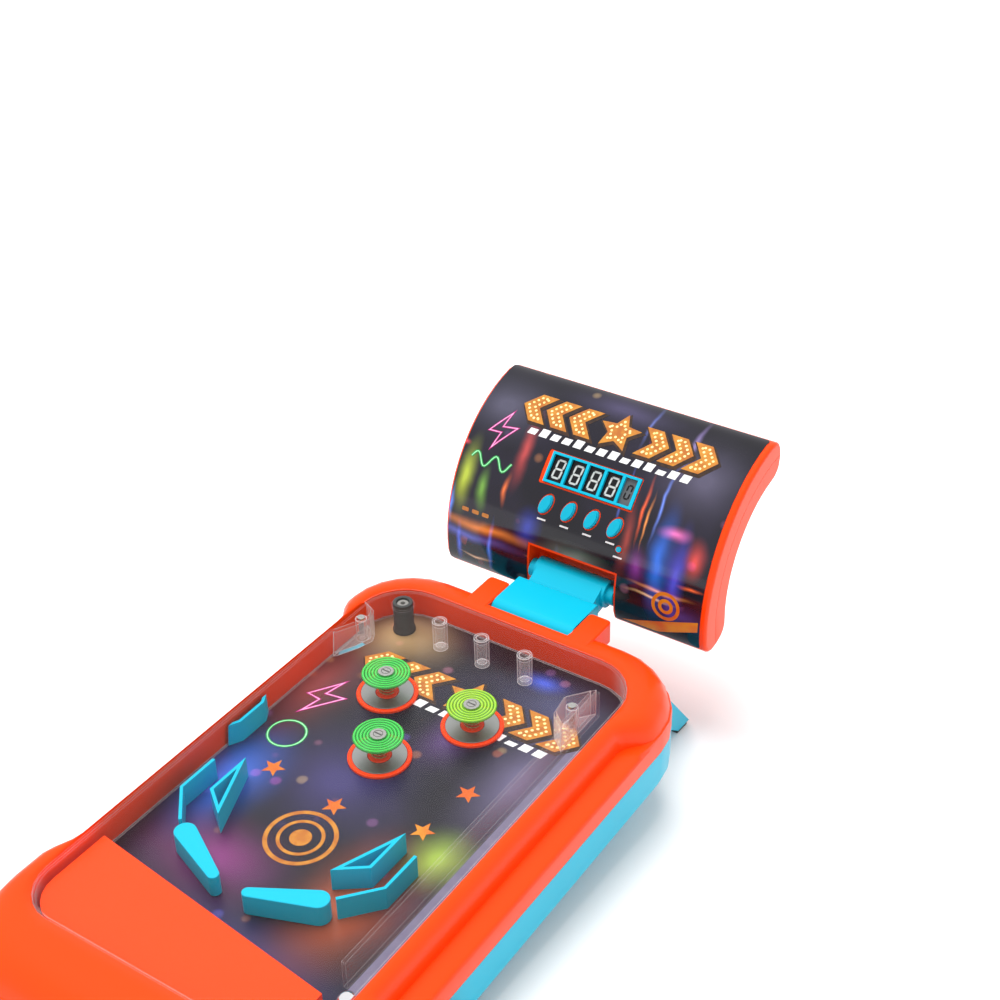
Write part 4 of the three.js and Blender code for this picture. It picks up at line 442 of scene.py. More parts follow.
def in_scene(name, data):
    """An object of that data, linked to the scene."""
    thing = bpy.data.objects.new(name, data)
    bpy.context.scene.collection.objects.link(thing)
    return thing


def link_piece(name, mesh, body, smooth_degrees=None):
    """Puts a finished mesh in the scene as a piece that rides on a body."""
    if smooth_degrees is not None:
        soften(mesh, smooth_degrees)
    piece = in_scene(name, mesh)
    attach(piece, body)
    return piece


@contextmanager
def edited(mesh):
    """The mesh's faces, edges and points for editing, written back at the end."""
    work = bmesh.new()
    work.from_mesh(mesh)
    yield work
    work.to_mesh(mesh)
    work.free()


def soften(mesh, degrees):
    """Smooth shading, kept sharp where two faces meet at more than the angle."""
    with edited(mesh) as work:
        for face in work.faces:
            face.smooth = True
        for edge in work.edges:
            edge.smooth = len(edge.link_faces) == 2 and edge.calc_face_angle(0) < radians(degrees)


def refined(node, name, finish, degrees, second=None, test=None, eased=None, ease_mm=0):
    """A welded and smoothly shaded copy of a node, which stands for it.

    Faces that pass the test get the second finish, and edges that pass the eased test get a small bevel.
    """
    mesh = frame["nodes"][node].data.copy()
    mesh.name = name
    mesh.materials.clear()
    for label in filter(None, (finish, second)):
        mesh.materials.append(bpy.data.materials[label])
    with edited(mesh) as work:
        bmesh.ops.remove_doubles(work, verts=work.verts, dist=WELD)
        bmesh.ops.dissolve_degenerate(work, edges=work.edges, dist=WELD)
        bmesh.ops.dissolve_limit(work, angle_limit=radians(0.3), verts=work.verts, edges=work.edges)
        if eased:
            edges = [edge for edge in work.edges if eased(edge)]
            bmesh.ops.bevel(work, geom=edges, offset=ease_mm * MM, offset_type="OFFSET", segments=1,
                            profile=0.5, affect="EDGES", clamp_overlap=True)
        for face in work.faces:
            face.material_index = 1 if test and test(face.calc_center_median()) else 0
    piece = link_piece(name, mesh, BODY_OF[node], degrees)
    piece.modifiers.new("even_normals", "WEIGHTED_NORMAL").keep_sharp = True
    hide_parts(node)
    return piece


def beyond(low=-math.inf, high=math.inf):
    """A test for a face whose middle is under one height of the deck or over the other."""
    return lambda centre: not low <= deck_place(centre).z <= high


def see_through(piece):
    """Lets light and reflections pass a clear piece, whose many thin walls would otherwise swallow them."""
    piece.visible_shadow = piece.visible_glossy = piece.visible_diffuse = False


def mesh_from(name, points, faces, finish):
    """A mesh from points in metres and faces."""
    mesh = bpy.data.meshes.new(name)
    mesh.from_pydata([tuple(p) for p in points], [], faces)
    mesh.materials.append(bpy.data.materials[finish])
    return mesh


def turned(name, profile, centre, finish, node, segments=72, degrees=35):
    """A turned piece that stands for a node, from a closed list of radius and height in millimetres."""
    count = len(profile)
    points, faces = [], []
    for k in range(segments):
        angle = 2 * pi * k / segments
        points += [deck(*polar(*centre, radius, angle), height) for radius, height in profile]
        here, after = k * count, (k + 1) % segments * count
        for i in range(count):
            j = (i + 1) % count
            faces.append((here + i, after + i, after + j, here + j))
    mesh = mesh_from(name, points, faces, finish)
    with edited(mesh) as work:
        bmesh.ops.remove_doubles(work, verts=work.verts, dist=WELD / 2)
        bmesh.ops.recalc_face_normals(work, faces=work.faces)
    piece = link_piece(name, mesh, BODY_OF[node], degrees)
    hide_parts(node)
    return piece


def sides(loop):
    """Each corner of a closed loop with the next."""
    return zip(loop, [*loop[1:], loop[0]])


def inside(points, loops):
    """Which points lie inside an odd number of the loops."""
    found = np.zeros(len(points), dtype=bool)
    x, y = points[:, 0], points[:, 1]
    for loop in loops:
        for (x0, y0), (x1, y1) in sides(loop):
            if y0 != y1:
                found ^= ((y0 > y) != (y1 > y)) & (x < (x1 - x0) * (y - y0) / (y1 - y0) + x0)
    return found


def filled(loops, step):
    """Points and triangles that fill the loops, with no triangle much larger than the step."""
    points, edges = [], []
    for loop in loops:
        start = len(points)
        for (x0, y0), (x1, y1) in sides(loop):
            parts = max(1, math.ceil(hypot(x1 - x0, y1 - y0) / step))
            points += [(x0 + (x1 - x0) * k / parts, y0 + (y1 - y0) * k / parts) for k in range(parts)]
        last = len(points)
        edges += [(k, k + 1) for k in range(start, last - 1)] + [(last - 1, start)]
    border = np.array(points)
    low, high = border.min(axis=0) + step / 2, border.max(axis=0)
    columns, rows = (np.arange(low[k], high[k], step) for k in (0, 1))
    grid = np.array([(x, y) for x in columns for y in rows])
    grid = grid.reshape(-1, 2)
    points += [tuple(p) for p in grid[inside(grid, loops)] if np.hypot(*(border - p).T).min() > 0.35 * step]
    places, _, faces = delaunay_2d_cdt([Vector(p) for p in points], edges, [], 0, 1e-6)[:3]
    places = np.array([tuple(v) for v in places])
    keep = inside(np.array([places[list(f)].mean(axis=0) for f in faces]), loops)
    return places, [f for f, kept in zip(faces, keep) if kept]


def sheet_piece(name, loops, step, place, finish, body, thickness_mm):
    """A thin printed sheet or patch of ink that fills the loops and lies where place puts it."""
    places, faces = filled(loops, step)
    mesh = mesh_from(name, [place(x, y) for x, y in places], faces, finish)
    layer = mesh.uv_layers.new(name="Sheet")
    for corner in mesh.loops:
        layer.data[corner.index].uv = places[corner.vertex_index] * MM
    piece = link_piece(name, mesh, body, 60)
    solid = piece.modifiers.new("thickness", "SOLIDIFY")
    solid.thickness = thickness_mm * MM
    solid.offset = -1


def printed(sheet, name, loops, level, finish):
    """Ink shapes on a sheet. A higher level lies over a lower one."""
    sheet_piece(f"{sheet.name}_{name}", loops, 3, lambda x, y: sheet.film(x, y, INK_STEP * level), finish,
                sheet.body, INK)


# Outlines, in millimetres

def polar(x, y, radius, angle):
    """A place at a distance and angle from another."""
    return x + radius * cos(angle), y + radius * sin(angle)


def ellipse(x, y, across, up, turn=0, count=28):
    """An ellipse with its second axis turned clockwise."""
    c, s = cos(radians(turn)), sin(radians(turn))
    loop = []
    for k in range(count):
        angle = 2 * pi * k / count
        u, v = across / 2 * cos(angle), up / 2 * sin(angle)
        loop.append((x + u * c + v * s, y - u * s + v * c))
    return loop


def corner_arcs(corners, steps):
    """A closed loop of quarter circles, each with its middle, radius and first angle."""
    return [polar(x, y, radius, radians(start + 90 * k / steps))
            for x, y, radius, start in corners for k in range(steps + 1)]


def rounded_box(x0, x1, y0, y1, radius, steps=5):
    """A box with rounded corners."""
    return corner_arcs((
        (x1 - radius, y1 - radius, radius, 0), (x0 + radius, y1 - radius, radius, 90),
        (x0 + radius, y0 + radius, radius, 180), (x1 - radius, y0 + radius, radius, 270)), steps)


def slanted_bar(x, y, width, height, lean):
    """A bar whose ends lean to the right."""
    return [(x, y), (x + width, y), (x + width + lean, y + height), (x + lean, y + height)]


def chevron(x, y, width, height, stroke):
    """A pointer to the right, drawn with an even stroke."""
    return [(x, y), (x + stroke, y), (x + width, y + height / 2), (x + stroke, y + height), (x, y + height),
            (x + width - stroke, y + height / 2)]


def star(x, y, outer, inner):
    """A star with five points."""
    return [polar(x, y, inner if k % 2 else outer, radians(90 + 36 * k)) for k in range(10)]


def band(path, width):
    """A ribbon of even width that follows an open path."""
    left, right = [], []
    for k, (x, y) in enumerate(path):
        px, py = path[max(k - 1, 0)]
        nx, ny = path[min(k + 1, len(path) - 1)]
        length = hypot(nx - px, ny - py)
        ax, ay = -(ny - py) / length * width / 2, (nx - px) / length * width / 2
        left.append((x + ax, y + ay))
        right.append((x - ax, y - ay))
    return left + right[::-1]


def along(loop, spacing):
    """Places at an even spacing along a closed loop."""
    places, carry = [], 0
    for (x0, y0), (x1, y1) in sides(loop):
        length = hypot(x1 - x0, y1 - y0)
        while carry < length:
            t = carry / length
            places.append((x0 + (x1 - x0) * t, y0 + (y1 - y0) * t))
            carry += spacing
        carry -= length
    return places


def inset_loop(loop, wall):
    """A loop moved inward by an even wall."""
    area = sum(x0 * y1 - x1 * y0 for (x0, y0), (x1, y1) in sides(loop))
    turn = 1 if area > 0 else -1
    result = []
    for (px, py), (x, y), (nx, ny) in zip([loop[-1], *loop[:-1]], loop, [*loop[1:], loop[0]]):
        a, b = hypot(x - px, y - py), hypot(nx - x, ny - y)
        n1 = (-(y - py) / a * turn, (x - px) / a * turn)
        n2 = (-(ny - y) / b * turn, (nx - x) / b * turn)
        mx, my = n1[0] + n2[0], n1[1] + n2[1]
        half = mx * n1[0] + my * n1[1]
        result.append((x + mx * wall / half, y + my * wall / half))
    return result


# Geometry Nodes trees

def new_tree(name, inputs):
    """A node group with a geometry in and out and named inputs. One without a value takes a material."""
    tree = bpy.data.node_groups.new(name, "GeometryNodeTree")
    tree.interface.new_socket(name="Geometry", in_out="INPUT", socket_type="NodeSocketGeometry")
    for label, value in inputs.items():
        kind = "NodeSocketFloat" if value else "NodeSocketMaterial"
        socket = tree.interface.new_socket(name=label, in_out="INPUT", socket_type=kind)
        if value:
            socket.default_value = value
    tree.interface.new_socket(name="Geometry", in_out="OUTPUT", socket_type="NodeSocketGeometry")
    return tree, add_node(tree, "NodeGroupInput")


def finish_tree(tree, source, geometry):
    """Ends a tree in real geometry with its finish."""
    real = add_node(tree, "GeometryNodeRealizeInstances", links={"Geometry": geometry})
    dressed = add_node(tree, "GeometryNodeSetMaterial",
                       links={"Geometry": real, "Material": source.outputs["Material"]})
    add_node(tree, "NodeGroupOutput", links={0: dressed})
    return tree


def coil_tree():
    """Round wire wound along z."""
    tree, source = new_tree("wound_wire", {
        "Radius": 0.005, "Wire": 0.0005, "Length": 0.01, "Curls": 4, "Material": None})
    spiral = add_node(tree, "GeometryNodeCurveSpiral", {"Resolution": 28}, {
        "Rotations": source.outputs["Curls"], "Start Radius": source.outputs["Radius"],
        "End Radius": source.outputs["Radius"], "Height": source.outputs["Length"]})
    ring = add_node(tree, "GeometryNodeCurvePrimitiveCircle", {"Resolution": 10},
                    {"Radius": source.outputs["Wire"]})
    wire = add_node(tree, "GeometryNodeCurveToMesh", {"Fill Caps": True},
                    {"Curve": spiral, "Profile Curve": ring})
    smooth = add_node(tree, "GeometryNodeSetShadeSmooth", links={"Geometry": wire})
    return finish_tree(tree, source, smooth)


def placed(tree, source, item):
    """Sets an item on every point, with its z turned to the point's stored facing."""
    facing = add_node(tree, "GeometryNodeInputNamedAttribute",
                      {"data_type": "FLOAT_VECTOR", "Name": "facing"})
    turn = add_node(tree, "FunctionNodeAlignRotationToVector", {"axis": "Z"}, {"Vector": facing})
    points = add_node(tree, "GeometryNodeMeshToPoints", links={"Mesh": source.outputs["Geometry"]})
    return add_node(tree, "GeometryNodeInstanceOnPoints", links={
        "Points": points, "Instance": item, "Rotation": turn})


def lamp_tree():
    """Small round lamp marks on every point."""
    tree, source = new_tree("lamp_marks", {"Radius": 0.0006, "Material": None})
    mark = add_node(tree, "GeometryNodeMeshCylinder", {"Vertices": 12, "Depth": 0.00006},
                    {"Radius": source.outputs["Radius"]})
    return finish_tree(tree, source, placed(tree, source, mark))


def screw_tree():
    """Pan-head screws with a cross recess on every point."""
    tree, source = new_tree("cross_screws", {"Radius": 0.0024, "Height": 0.0012, "Material": None})
    radius, height = source.outputs["Radius"], source.outputs["Height"]
    pan = add_node(tree, "GeometryNodeMeshCylinder", {"Vertices": 28}, {"Radius": radius, "Depth": height})
    size = add_node(tree, "ShaderNodeCombineXYZ", {"Y": 0.0005, "Z": 0.0012}, {"X": radius})
    bar = add_node(tree, "GeometryNodeMeshCube", links={"Size": size})
    up = add_node(tree, "ShaderNodeCombineXYZ", links={"Z": height})
    one = add_node(tree, "GeometryNodeTransform", links={"Geometry": bar, "Translation": up})
    other = add_node(tree, "GeometryNodeTransform", {"Rotation": (0, 0, pi / 2)}, {"Geometry": one})
    head = add_node(tree, "GeometryNodeMeshBoolean", {"operation": "DIFFERENCE", "solver": "EXACT"},
                    {"Mesh 1": pan})
    for cutter in (one, other):
        feed(tree, head, {"Mesh 2": cutter})
    return finish_tree(tree, source, placed(tree, source, head))


def grow(tree, name, mesh, values, finish, body, place=None, degrees=None):
    """Runs a tree on a mesh and keeps the result as a plain mesh piece."""
    host = in_scene(name, mesh)
    modifier = host.modifiers.new(tree.name, "NODES")
    modifier.node_group = tree
    values = {"Material": bpy.data.materials[finish], **values}
    for item in tree.interface.items_tree:
        if item.in_out == "INPUT" and item.name in values:
            modifier[item.identifier] = values[item.name]
    graph = bpy.context.evaluated_depsgraph_get()
    result = bpy.data.meshes.new_from_object(host.evaluated_get(graph), depsgraph=graph)
    host.modifiers.remove(modifier)
    bpy.data.objects.remove(host)
    if place:
        result.transform(place)
    result.name = name
    return link_piece(name, result, body, degrees)


def point_mesh(name, points, facings):
    """A mesh of loose points that store which way each one faces."""
    mesh = bpy.data.meshes.new(name)
    mesh.from_pydata([tuple(p) for p in points], [], [])
    layer = mesh.attributes.new("facing", "FLOAT_VECTOR", "POINT")
    layer.data.foreach_set("vector", [v for facing in facings for v in facing])
    return mesh


def shared_tree(name, build):
    """The tree of that name, built on first use."""
    return bpy.data.node_groups.get(name) or build()


# Sizes and colours that a user can change

class FinishProperties(bpy.types.PropertyGroup):
    """Colours of the mouldings."""
    orange: bpy.props.FloatVectorProperty(
        name="Orange plastic", description="Colour of the top frame and score panel", subtype="COLOR",
        min=0, max=1, default=linear("FF4407"))
    cyan: bpy.props.FloatVectorProperty(
        name="Cyan plastic", description="Colour of the base, link arm, keys and legs", subtype="COLOR",
        min=0, max=1, default=linear("05B6D4"))
    green: bpy.props.FloatVectorProperty(
        name="Green bumper", description="Colour of the green bumper discs", subtype="COLOR",
        min=0, max=1, default=linear("38C14A"))
    lime: bpy.props.FloatVectorProperty(
        name="Lime bumper", description="Colour of the yellow-green bumper disc", subtype="COLOR",
        min=0, max=1, default=linear("96CC2E"))
    cover_haze: bpy.props.FloatProperty(
        name="Cover haze", description="How much the clear cover hides when seen face on", subtype="FACTOR",
        default=0.006, min=0, max=1)
    post_haze: bpy.props.FloatProperty(
        name="Post haze", description="How much one wall of the clear posts hides when seen face on",
        subtype="FACTOR", default=0.09, min=0, max=1)


class PrintProperties(bpy.types.PropertyGroup):
    """Sizes of the printed sheets."""
    panel_left: bpy.props.FloatProperty(
        name="Panel sheet left edge", default=-91.3,
        description="Left edge of the score panel's sheet, in mm from the middle")
    panel_right: bpy.props.FloatProperty(
        name="Panel sheet right edge", default=89.2,
        description="Right edge of the score panel's sheet, in mm from the middle")
    panel_foot: bpy.props.FloatProperty(
        name="Panel sheet foot", description="Angle of the lower edge about the bend axis, in degrees",
        default=-10.7)
    panel_top: bpy.props.FloatProperty(
        name="Panel sheet top", description="Angle of the upper edge about the bend axis, in degrees",
        default=85.5)
    lamp_spacing: bpy.props.FloatProperty(
        name="Lamp spacing", description="Distance between printed lamp marks, in mm", default=3.1, min=1)


class StudioProperties(bpy.types.PropertyGroup):
    """Lights and camera."""
    lens: bpy.props.FloatProperty(
        name="Lens", description="Focal length on a 36 mm sensor, in mm", default=60.82, min=10)
    lamp_strength: bpy.props.FloatProperty(
        name="Lamp strength", description="Strength of the wide soft lamp overhead", default=2.8, min=0)
    lamp_width: bpy.props.FloatProperty(
        name="Lamp width", description="Angle that the soft lamp fills", subtype="ANGLE",
        default=radians(44), min=0, max=pi)
    world_level: bpy.props.FloatProperty(
        name="World level", description="Strength of the surrounding white", default=0.85, min=0)
    floor_lift: bpy.props.FloatProperty(
        name="Floor lift", description="Light that the floor adds where it is seen, to show white",
        default=0.05, min=0)


# Operators

class PINBALL_OT_mouldings(bpy.types.Operator):
    """Body, link arm, legs, flippers and buttons in their moulded finishes"""
    bl_idname = "pinball.mouldings"
    bl_label = "Mouldings"

    def execute(self, context):
        materials(context)
        parts = [("top_frame", "rim", "abs_orange", 44), ("base_shell", "base", "abs_cyan", 44),
                 ("apron", "apron", "abs_orange", 38), ("link_arm", "link", "abs_cyan", 38),
                 ("display_bezel", "bezel", "abs_cyan", 30)]
        parts += [(f"{hand}_{node}", f"{hand}_{name}", finish, degrees) for node, name, finish, degrees in (
            ("rear_leg", "leg", "abs_cyan", 30), ("leg_pad", "pad", "rubber_black", 30),
            ("front_foot", "foot", "rubber_black", 40), ("flipper", "bat", "abs_cyan", 44),
            ("crank", "crank", "abs_grey", 40), ("button", "button", "abs_orange", 44))
            for hand in ("left", "right")]
        parts += [("plunger_knob", "knob", "abs_orange", 50), ("plunger_bush", "bush", "abs_black", 40),
                  ("battery_door", "door", "abs_cyan", 30)]
        for node, name, finish, degrees in parts:
            refined(node, f"{name}_moulding", f"moulded_{finish}", degrees)
        for side, radius in (("front", PARTING_RADIUS + 0.15), ("back", PARTING_RADIUS - 0.15)):
            refined(f"head_{side}_shell", f"panel_{side}_moulding", "moulded_abs_orange", 50,
                    eased=lambda edge, r=radius: self.at_parting(edge, r), ease_mm=0.45)
        return {"FINISHED"}

    def at_parting(self, edge, radius):
        """Whether an edge runs along the outside of the line where the score panel's two shells meet."""
        for vertex in edge.verts:
            place = deck_place(vertex.co)
            back, up = place.y - BEND_Y, place.z - BEND_Z
            if abs(hypot(back, up) - radius) > 0.05:
                return False
            angle = math.degrees(math.atan2(up, -back))
            ends = PANEL_FOOT_DEGREES + 1.2 < angle < PANEL_TOP_DEGREES - 1.2
            if abs(place.x) < PANEL_HALF_WIDTH - 0.1 and ends:
                return False
        return True


class PINBALL_OT_works(bpy.types.Operator):
    """Pins, plunger rod, ball, springs, batteries, board and speaker"""
    bl_idname = "pinball.works"
    bl_label = "Works"

    def execute(self, context):
        materials(context)
        for node, name, finish in (
                ("link_pin", "link_hinge_pin", "nickelled_steel"),
                ("head_pin", "panel_hinge_pin", "nickelled_steel"),
                ("plunger_rod", "plunger_shaft", "nickelled_steel"),
                ("circuit_board", "board_laminate", "solder_mask_green"),
                ("display_module", "display_block", "moulded_abs_black"),
                ("speaker", "speaker_frame", "moulded_abs_black"),
                ("battery_1", "first_cell", "cell_jacket_film"),
                ("battery_2", "second_cell", "cell_jacket_film")):
            refined(node, name, finish, 44)
        turns = [pi * k / 32 for k in range(33)]
        profile = [(BALL_RADIUS * sin(turn), LANE_HEIGHT - BALL_RADIUS * cos(turn)) for turn in turns]
        turned("ball_bearing", profile, (LANE_X, BALL_Y), "polished_steel", "steel_ball", 56, 60)
        for number, (x, y) in enumerate(BUMPERS, 1):
            self.wind(f"bumper_{number}", "drawn_brass_wire", (4.5, 0.5, 9.7, 4), (x, y, 2.7))
        length, travel = 15.7, 6
        for hand, start, seat in (("left", -104, -88.3), ("right", 88.3, 88.3)):
            coil = self.wind(f"{hand}_button", "nickelled_steel", (5.6, 0.5, length, 4),
                             (start, BUTTON_Y, BUTTON_Z), Matrix.Rotation(radians(90), 4, "Y"))
            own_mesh(coil)
        length, travel, foot = 33.8, 18, (LANE_X, LANE_FRONT, LANE_HEIGHT)
        coil = self.wind("plunger", "nickelled_steel", (3.95, 0.45, length, 6), foot,
                         Matrix.Rotation(radians(-90), 4, "X"))
        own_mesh(coil)
        return {"FINISHED"}

    def wind(self, owner, finish, sizes, foot, turn=Matrix.Identity(4)):
        """Winds one spring of a radius, wire, length and number of curls, and lets it stand for its node."""
        radius, wire, length, curls = sizes
        seat = Matrix.Translation(Vector(foot) * MM)
        place = Matrix.Translation(DECK_ORIGIN * MM) @ DECK_TILT.to_4x4() @ seat
        name, node = f"{owner}_coil", f"{owner}_spring"
        values = {"Radius": radius * MM, "Wire": wire * MM, "Length": (length - 2 * wire) * MM,
                  "Curls": float(curls)}
        piece = grow(shared_tree("wound_wire", coil_tree), name, bpy.data.meshes.new(name), values,
                     finish, BODY_OF[node], place @ turn @ Matrix.Translation((0, 0, wire * MM)))
        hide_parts(node)
        return piece


class PINBALL_OT_cover(bpy.types.Operator):
    """Clear moulded cover with its posts, and the rubber-sleeved post"""
    bl_idname = "pinball.cover"
    bl_label = "Cover"

    def execute(self, context):
        materials(context)
        thin, strong_edge_highlight = "clear_polystyrene", "clear_polystyrene_thick"
        # The posts and recesses that hang from the plate, with their tops, and the foot of the wall, which
        # take the stronger painted edge highlight
        hanging, foot = beyond(COVER_UNDERSIDE - 0.1, COVER_TOP + 0.1), beyond(low=COVER_FOOT)
        see_through(refined("clear_cover", "cover_moulding", thin, 35, strong_edge_highlight, hanging))
        see_through(refined("cover_skirt", "skirt_moulding", thin, 35, strong_edge_highlight, foot))
        see_through(refined("lane_divider", "divider_moulding", thin, 35))
        turned("post_sleeve", [
            (3.9, 0.3), (6.9, 0.3), (6.9, 1.8), (6.6, 2.6), (6.2, 3.9), (6.15, 20.6), (6.05, 21.1),
            (5.7, 21.3), (4.3, 21.3), (3.95, 21.1), (3.9, 20.6)],
            POST, "moulded_rubber_black", "rubber_post", 64)
        turned("post_core", [
            (0, 0.3), (3.6, 0.3), (3.6, 19.8), (3.3, 20.1), (1.6, 20.1), (1.4, 19.8), (1.4, 1.8), (0, 1.8)],
            POST, "moulded_abs_grey", "rubber_post_core", 48)
        return {"FINISHED"}


class PINBALL_OT_bumpers(bpy.types.Operator):
    """Bumper dishes, plates, stems with their caps and ridged discs"""
    bl_idname = "pinball.bumpers"
    bl_label = "Bumpers"

    def execute(self, context):
        materials(context)
        for number, place in enumerate(BUMPERS, 1):
            turned(f"bumper_{number}_dish", [
                (0, 0.3), (18, 0.3), (18, 1.5), (17.7, 1.9), (17.2, 2), (16.2, 2), (15.7, 1.85),
                (15.6, 1.6), (15.6, 1.2), (6.6, 1.2), (6.6, 2.2), (6.4, 2.4), (0, 2.4)],
                place, "moulded_abs_orange", f"bumper_{number}_base")
            turned(f"bumper_{number}_washer", [
                (6.9, 1.5), (15.2, 1.5), (15.3, 1.6), (15.3, 2), (15.2, 2.1), (7, 2.1), (6.9, 2)],
                place, "stamped_steel", f"bumper_{number}_plate")
            tint = "tinted_polystyrene_lime" if number == 2 else "tinted_polystyrene_green"
            node = f"bumper_{number}_disc"
            piece = turned(f"{node}_moulding", self.ridged(), place, tint, node, 96, 80)
            self.note_radius(piece.data, place)
            refined(f"bumper_{number}_stem", f"bumper_{number}_spindle", "moulded_abs_grey", 40,
                    "nickelled_steel", beyond(high=CAP_UNDERSIDE))
            self.cap_painted_shade(number, place)
        return {"FINISHED"}

    def cap_painted_shade(self, number, centre):
        """Painted shade for the groove and the driver's slot in the top of a metal cap, as a thin dark patch
        over its flat top.
        """
        x, y = centre
        groove = [ellipse(x, y, 5.6, 5.6), ellipse(x, y, 4.8, 4.8)]
        slot = rounded_box(x - 2, x + 2, y - 0.45, y + 0.45, 0.3, 2)
        sheet_piece(f"bumper_{number}_cap_marks", groove + [slot], 3, lambda u, v: deck(u, v, CAP_TOP + 0.04),
                    "cap_shade", BODY_OF[f"bumper_{number}_disc"], INK)

    def note_radius(self, mesh, centre):
        """Stores each point's distance from the disc's middle, which the finish follows."""
        layer = mesh.attributes.new("radius", "FLOAT", "POINT")
        for vertex, item in zip(mesh.vertices, layer.data):
            place = deck_place(vertex.co)
            item.value = hypot(place.x - centre[0], place.y - centre[1]) * MM

    def ridged(self):
        """Outline of the disc, with its round ridges."""
        profile = [(2.5, 14.8), (13.9, 14.8), (14.3, 15.2), (14.3, 16)]
        steps = 8 * DISC_RIDGES
        for k in range(steps + 1):
            radius = DISC_RADIUS - (DISC_RADIUS - DISC_HUB) * k / steps
            wave = 0.5 - 0.5 * cos(2 * pi * DISC_RIDGES * k / steps)
            profile.append((radius, 16.05 + 0.55 * math.sqrt(wave)))
        return profile + [(4.9, 16.1), (2.5, 16.1)]


class PINBALL_OT_panel_sheet(bpy.types.Operator):
    """Printed sheet on the score panel, cut out round the display, keys and link"""
    bl_idname = "pinball.panel_sheet"
    bl_label = "Panel sheet"

    def execute(self, context):
        materials(context)
        sizes = context.scene.pinball_print
        middle = arc_of(DISPLAY_DEGREES)
        bezel = rounded_box(-33.9, 31.8, middle - 11.2, middle + 10.6, 1.2)
        keys = [ellipse(x, arc_of(KEY_DEGREES), KEY_WIDTH + 2.2, KEY_LENGTH + 2, KEY_SLANT)
                for x in KEY_PLACES]
        reset = ellipse(RESET_X, arc_of(RESET_DEGREES), RESET_HOLE, RESET_HOLE, 0, 16)
        sheet_piece("panel_film", [self.edge(sizes), bezel, reset] + keys, 3.2, panel_film,
                    "varnished_film_panel", "head", PANEL_FILM)
        self.motifs(sizes.lamp_spacing)
        return {"FINISHED"}

    def edge(self, sizes):
        """Outline of the sheet, with rounded corners and the link's notch."""
        foot, top = arc_of(sizes.panel_foot), arc_of(sizes.panel_top)
        box = rounded_box(sizes.panel_left, sizes.panel_right, foot, top, 3)
        notch_top, lower_right = arc_of(NOTCH_TOP_DEGREES), 3 * len(box) // 4
        notch = [(-NOTCH_HALF_WIDTH, foot), (-NOTCH_HALF_WIDTH, notch_top), (NOTCH_HALF_WIDTH, notch_top),
                 (NOTCH_HALF_WIDTH, foot)]
        return box[:lower_right] + notch + box[lower_right:]

    def motifs(self, lamp_spacing):
        """Plain shapes printed over the ground."""
        marquee(PANEL, (2, 87), 1, lamp_spacing)
        bolt = [(-79, 78), (-69, 93), (-71, 82.5), (-61, 84), (-73, 68), (-70.5, 78.5)]
        neon(PANEL, "bolt", bolt, 1.3, "pink")
        wave = [(-84 + 1.2 * k, 59 + 4 * sin(k * 0.55)) for k in range(25)]
        marks = [rounded_box(-82 + 7.5 * k, -77 + 7.5 * k, 24, 26.6, 0.8) for k in range(3)]
        flare = [(36, -13.5), (60, -13.5), (88, -2), (88, 5)]
        rings = [ellipse(66, 8, d, d, 0, 40) for d in (19, 14.5, 10, 5.5)]
        labels = [slanted_bar(x - 4, arc_of(KEY_DEGREES) - 10.4, 6, 1.1, 0.3) for x in KEY_PLACES]
        labels.append(slanted_bar(RESET_X - 3, arc_of(RESET_DEGREES) - 5.6, 6, 1.1, 0.3))
        for row in (("wave", [band(wave, 1.9)], 2, "green_ink"),
                    ("wave_core", [band(wave, 0.6)], 3, "pale_green_ink"),
                    ("marks", marks, 2, "gold_ink"), ("flare", [flare], 2, "amber_ink"),
                    ("rings", rings, 3, "amber_ink"), ("key_marks", labels, 2, "white_ink")):
            printed(PANEL, *row)


def marquee(sheet, foot, scale, lamp_spacing):
    """A star with chevrons that point away from it, in gold set with lamp marks, over a row of white bars."""
    def moved(loop):
        return [(foot[0] + scale * x, foot[1] + scale * y) for x, y in loop]
    shapes = [star(0, 15.5, 14.5, 7)]
    for side in (-1, 1):
        shapes += [[(side * x, y) for x, y in chevron(15 + 16.5 * k, 4.5, 20, 21, 11.5)] for k in range(3)]
    gold = [moved(shape) for shape in shapes]
    for k, shape in enumerate(gold, 1):
        shadow = [(x + 1.3 * scale, y - 1.3 * scale) for x, y in inset_loop(shape, -1 * scale)]
        printed(sheet, f"gold_edge_{k}", [shadow], 2, "brown_ink")
    printed(sheet, "gold", gold, 4, "gold_ink")
    lamps = [p for shape in gold for p in along(inset_loop(shape, 2.6 * scale), lamp_spacing)]
    name = f"{sheet.name}_lamps"
    mesh = point_mesh(name, [sheet.film(x, y, 5 * INK_STEP) for x, y in lamps],
                      [sheet.facing(y) for _, y in lamps])
    grow(shared_tree("lamp_marks", lamp_tree), name, mesh, {"Radius": 0.85 * scale * MM}, "pale_gold_ink",
         sheet.body)
    bars = [moved(slanted_bar(-56 + 8.2 * k, -3.4, 5.6, 3 + 2.6 * abs(sin(1.1 * k + 0.4)), 1.2))
            for k in range(14)]
    printed(sheet, "bars", bars, 2, "white_ink")


def neon(sheet, name, loop, width, colour):
    """A neon tube's outline: a bright line in a wider one of its colour."""
    for suffix, share, level, ink in (("", 2, 2, f"{colour}_ink"), ("_core", 6, 3, f"pale_{colour}_ink")):
        ring = [inset_loop(loop, -width / share), inset_loop(loop, width / share)]
        printed(sheet, name + suffix, ring, level, ink)


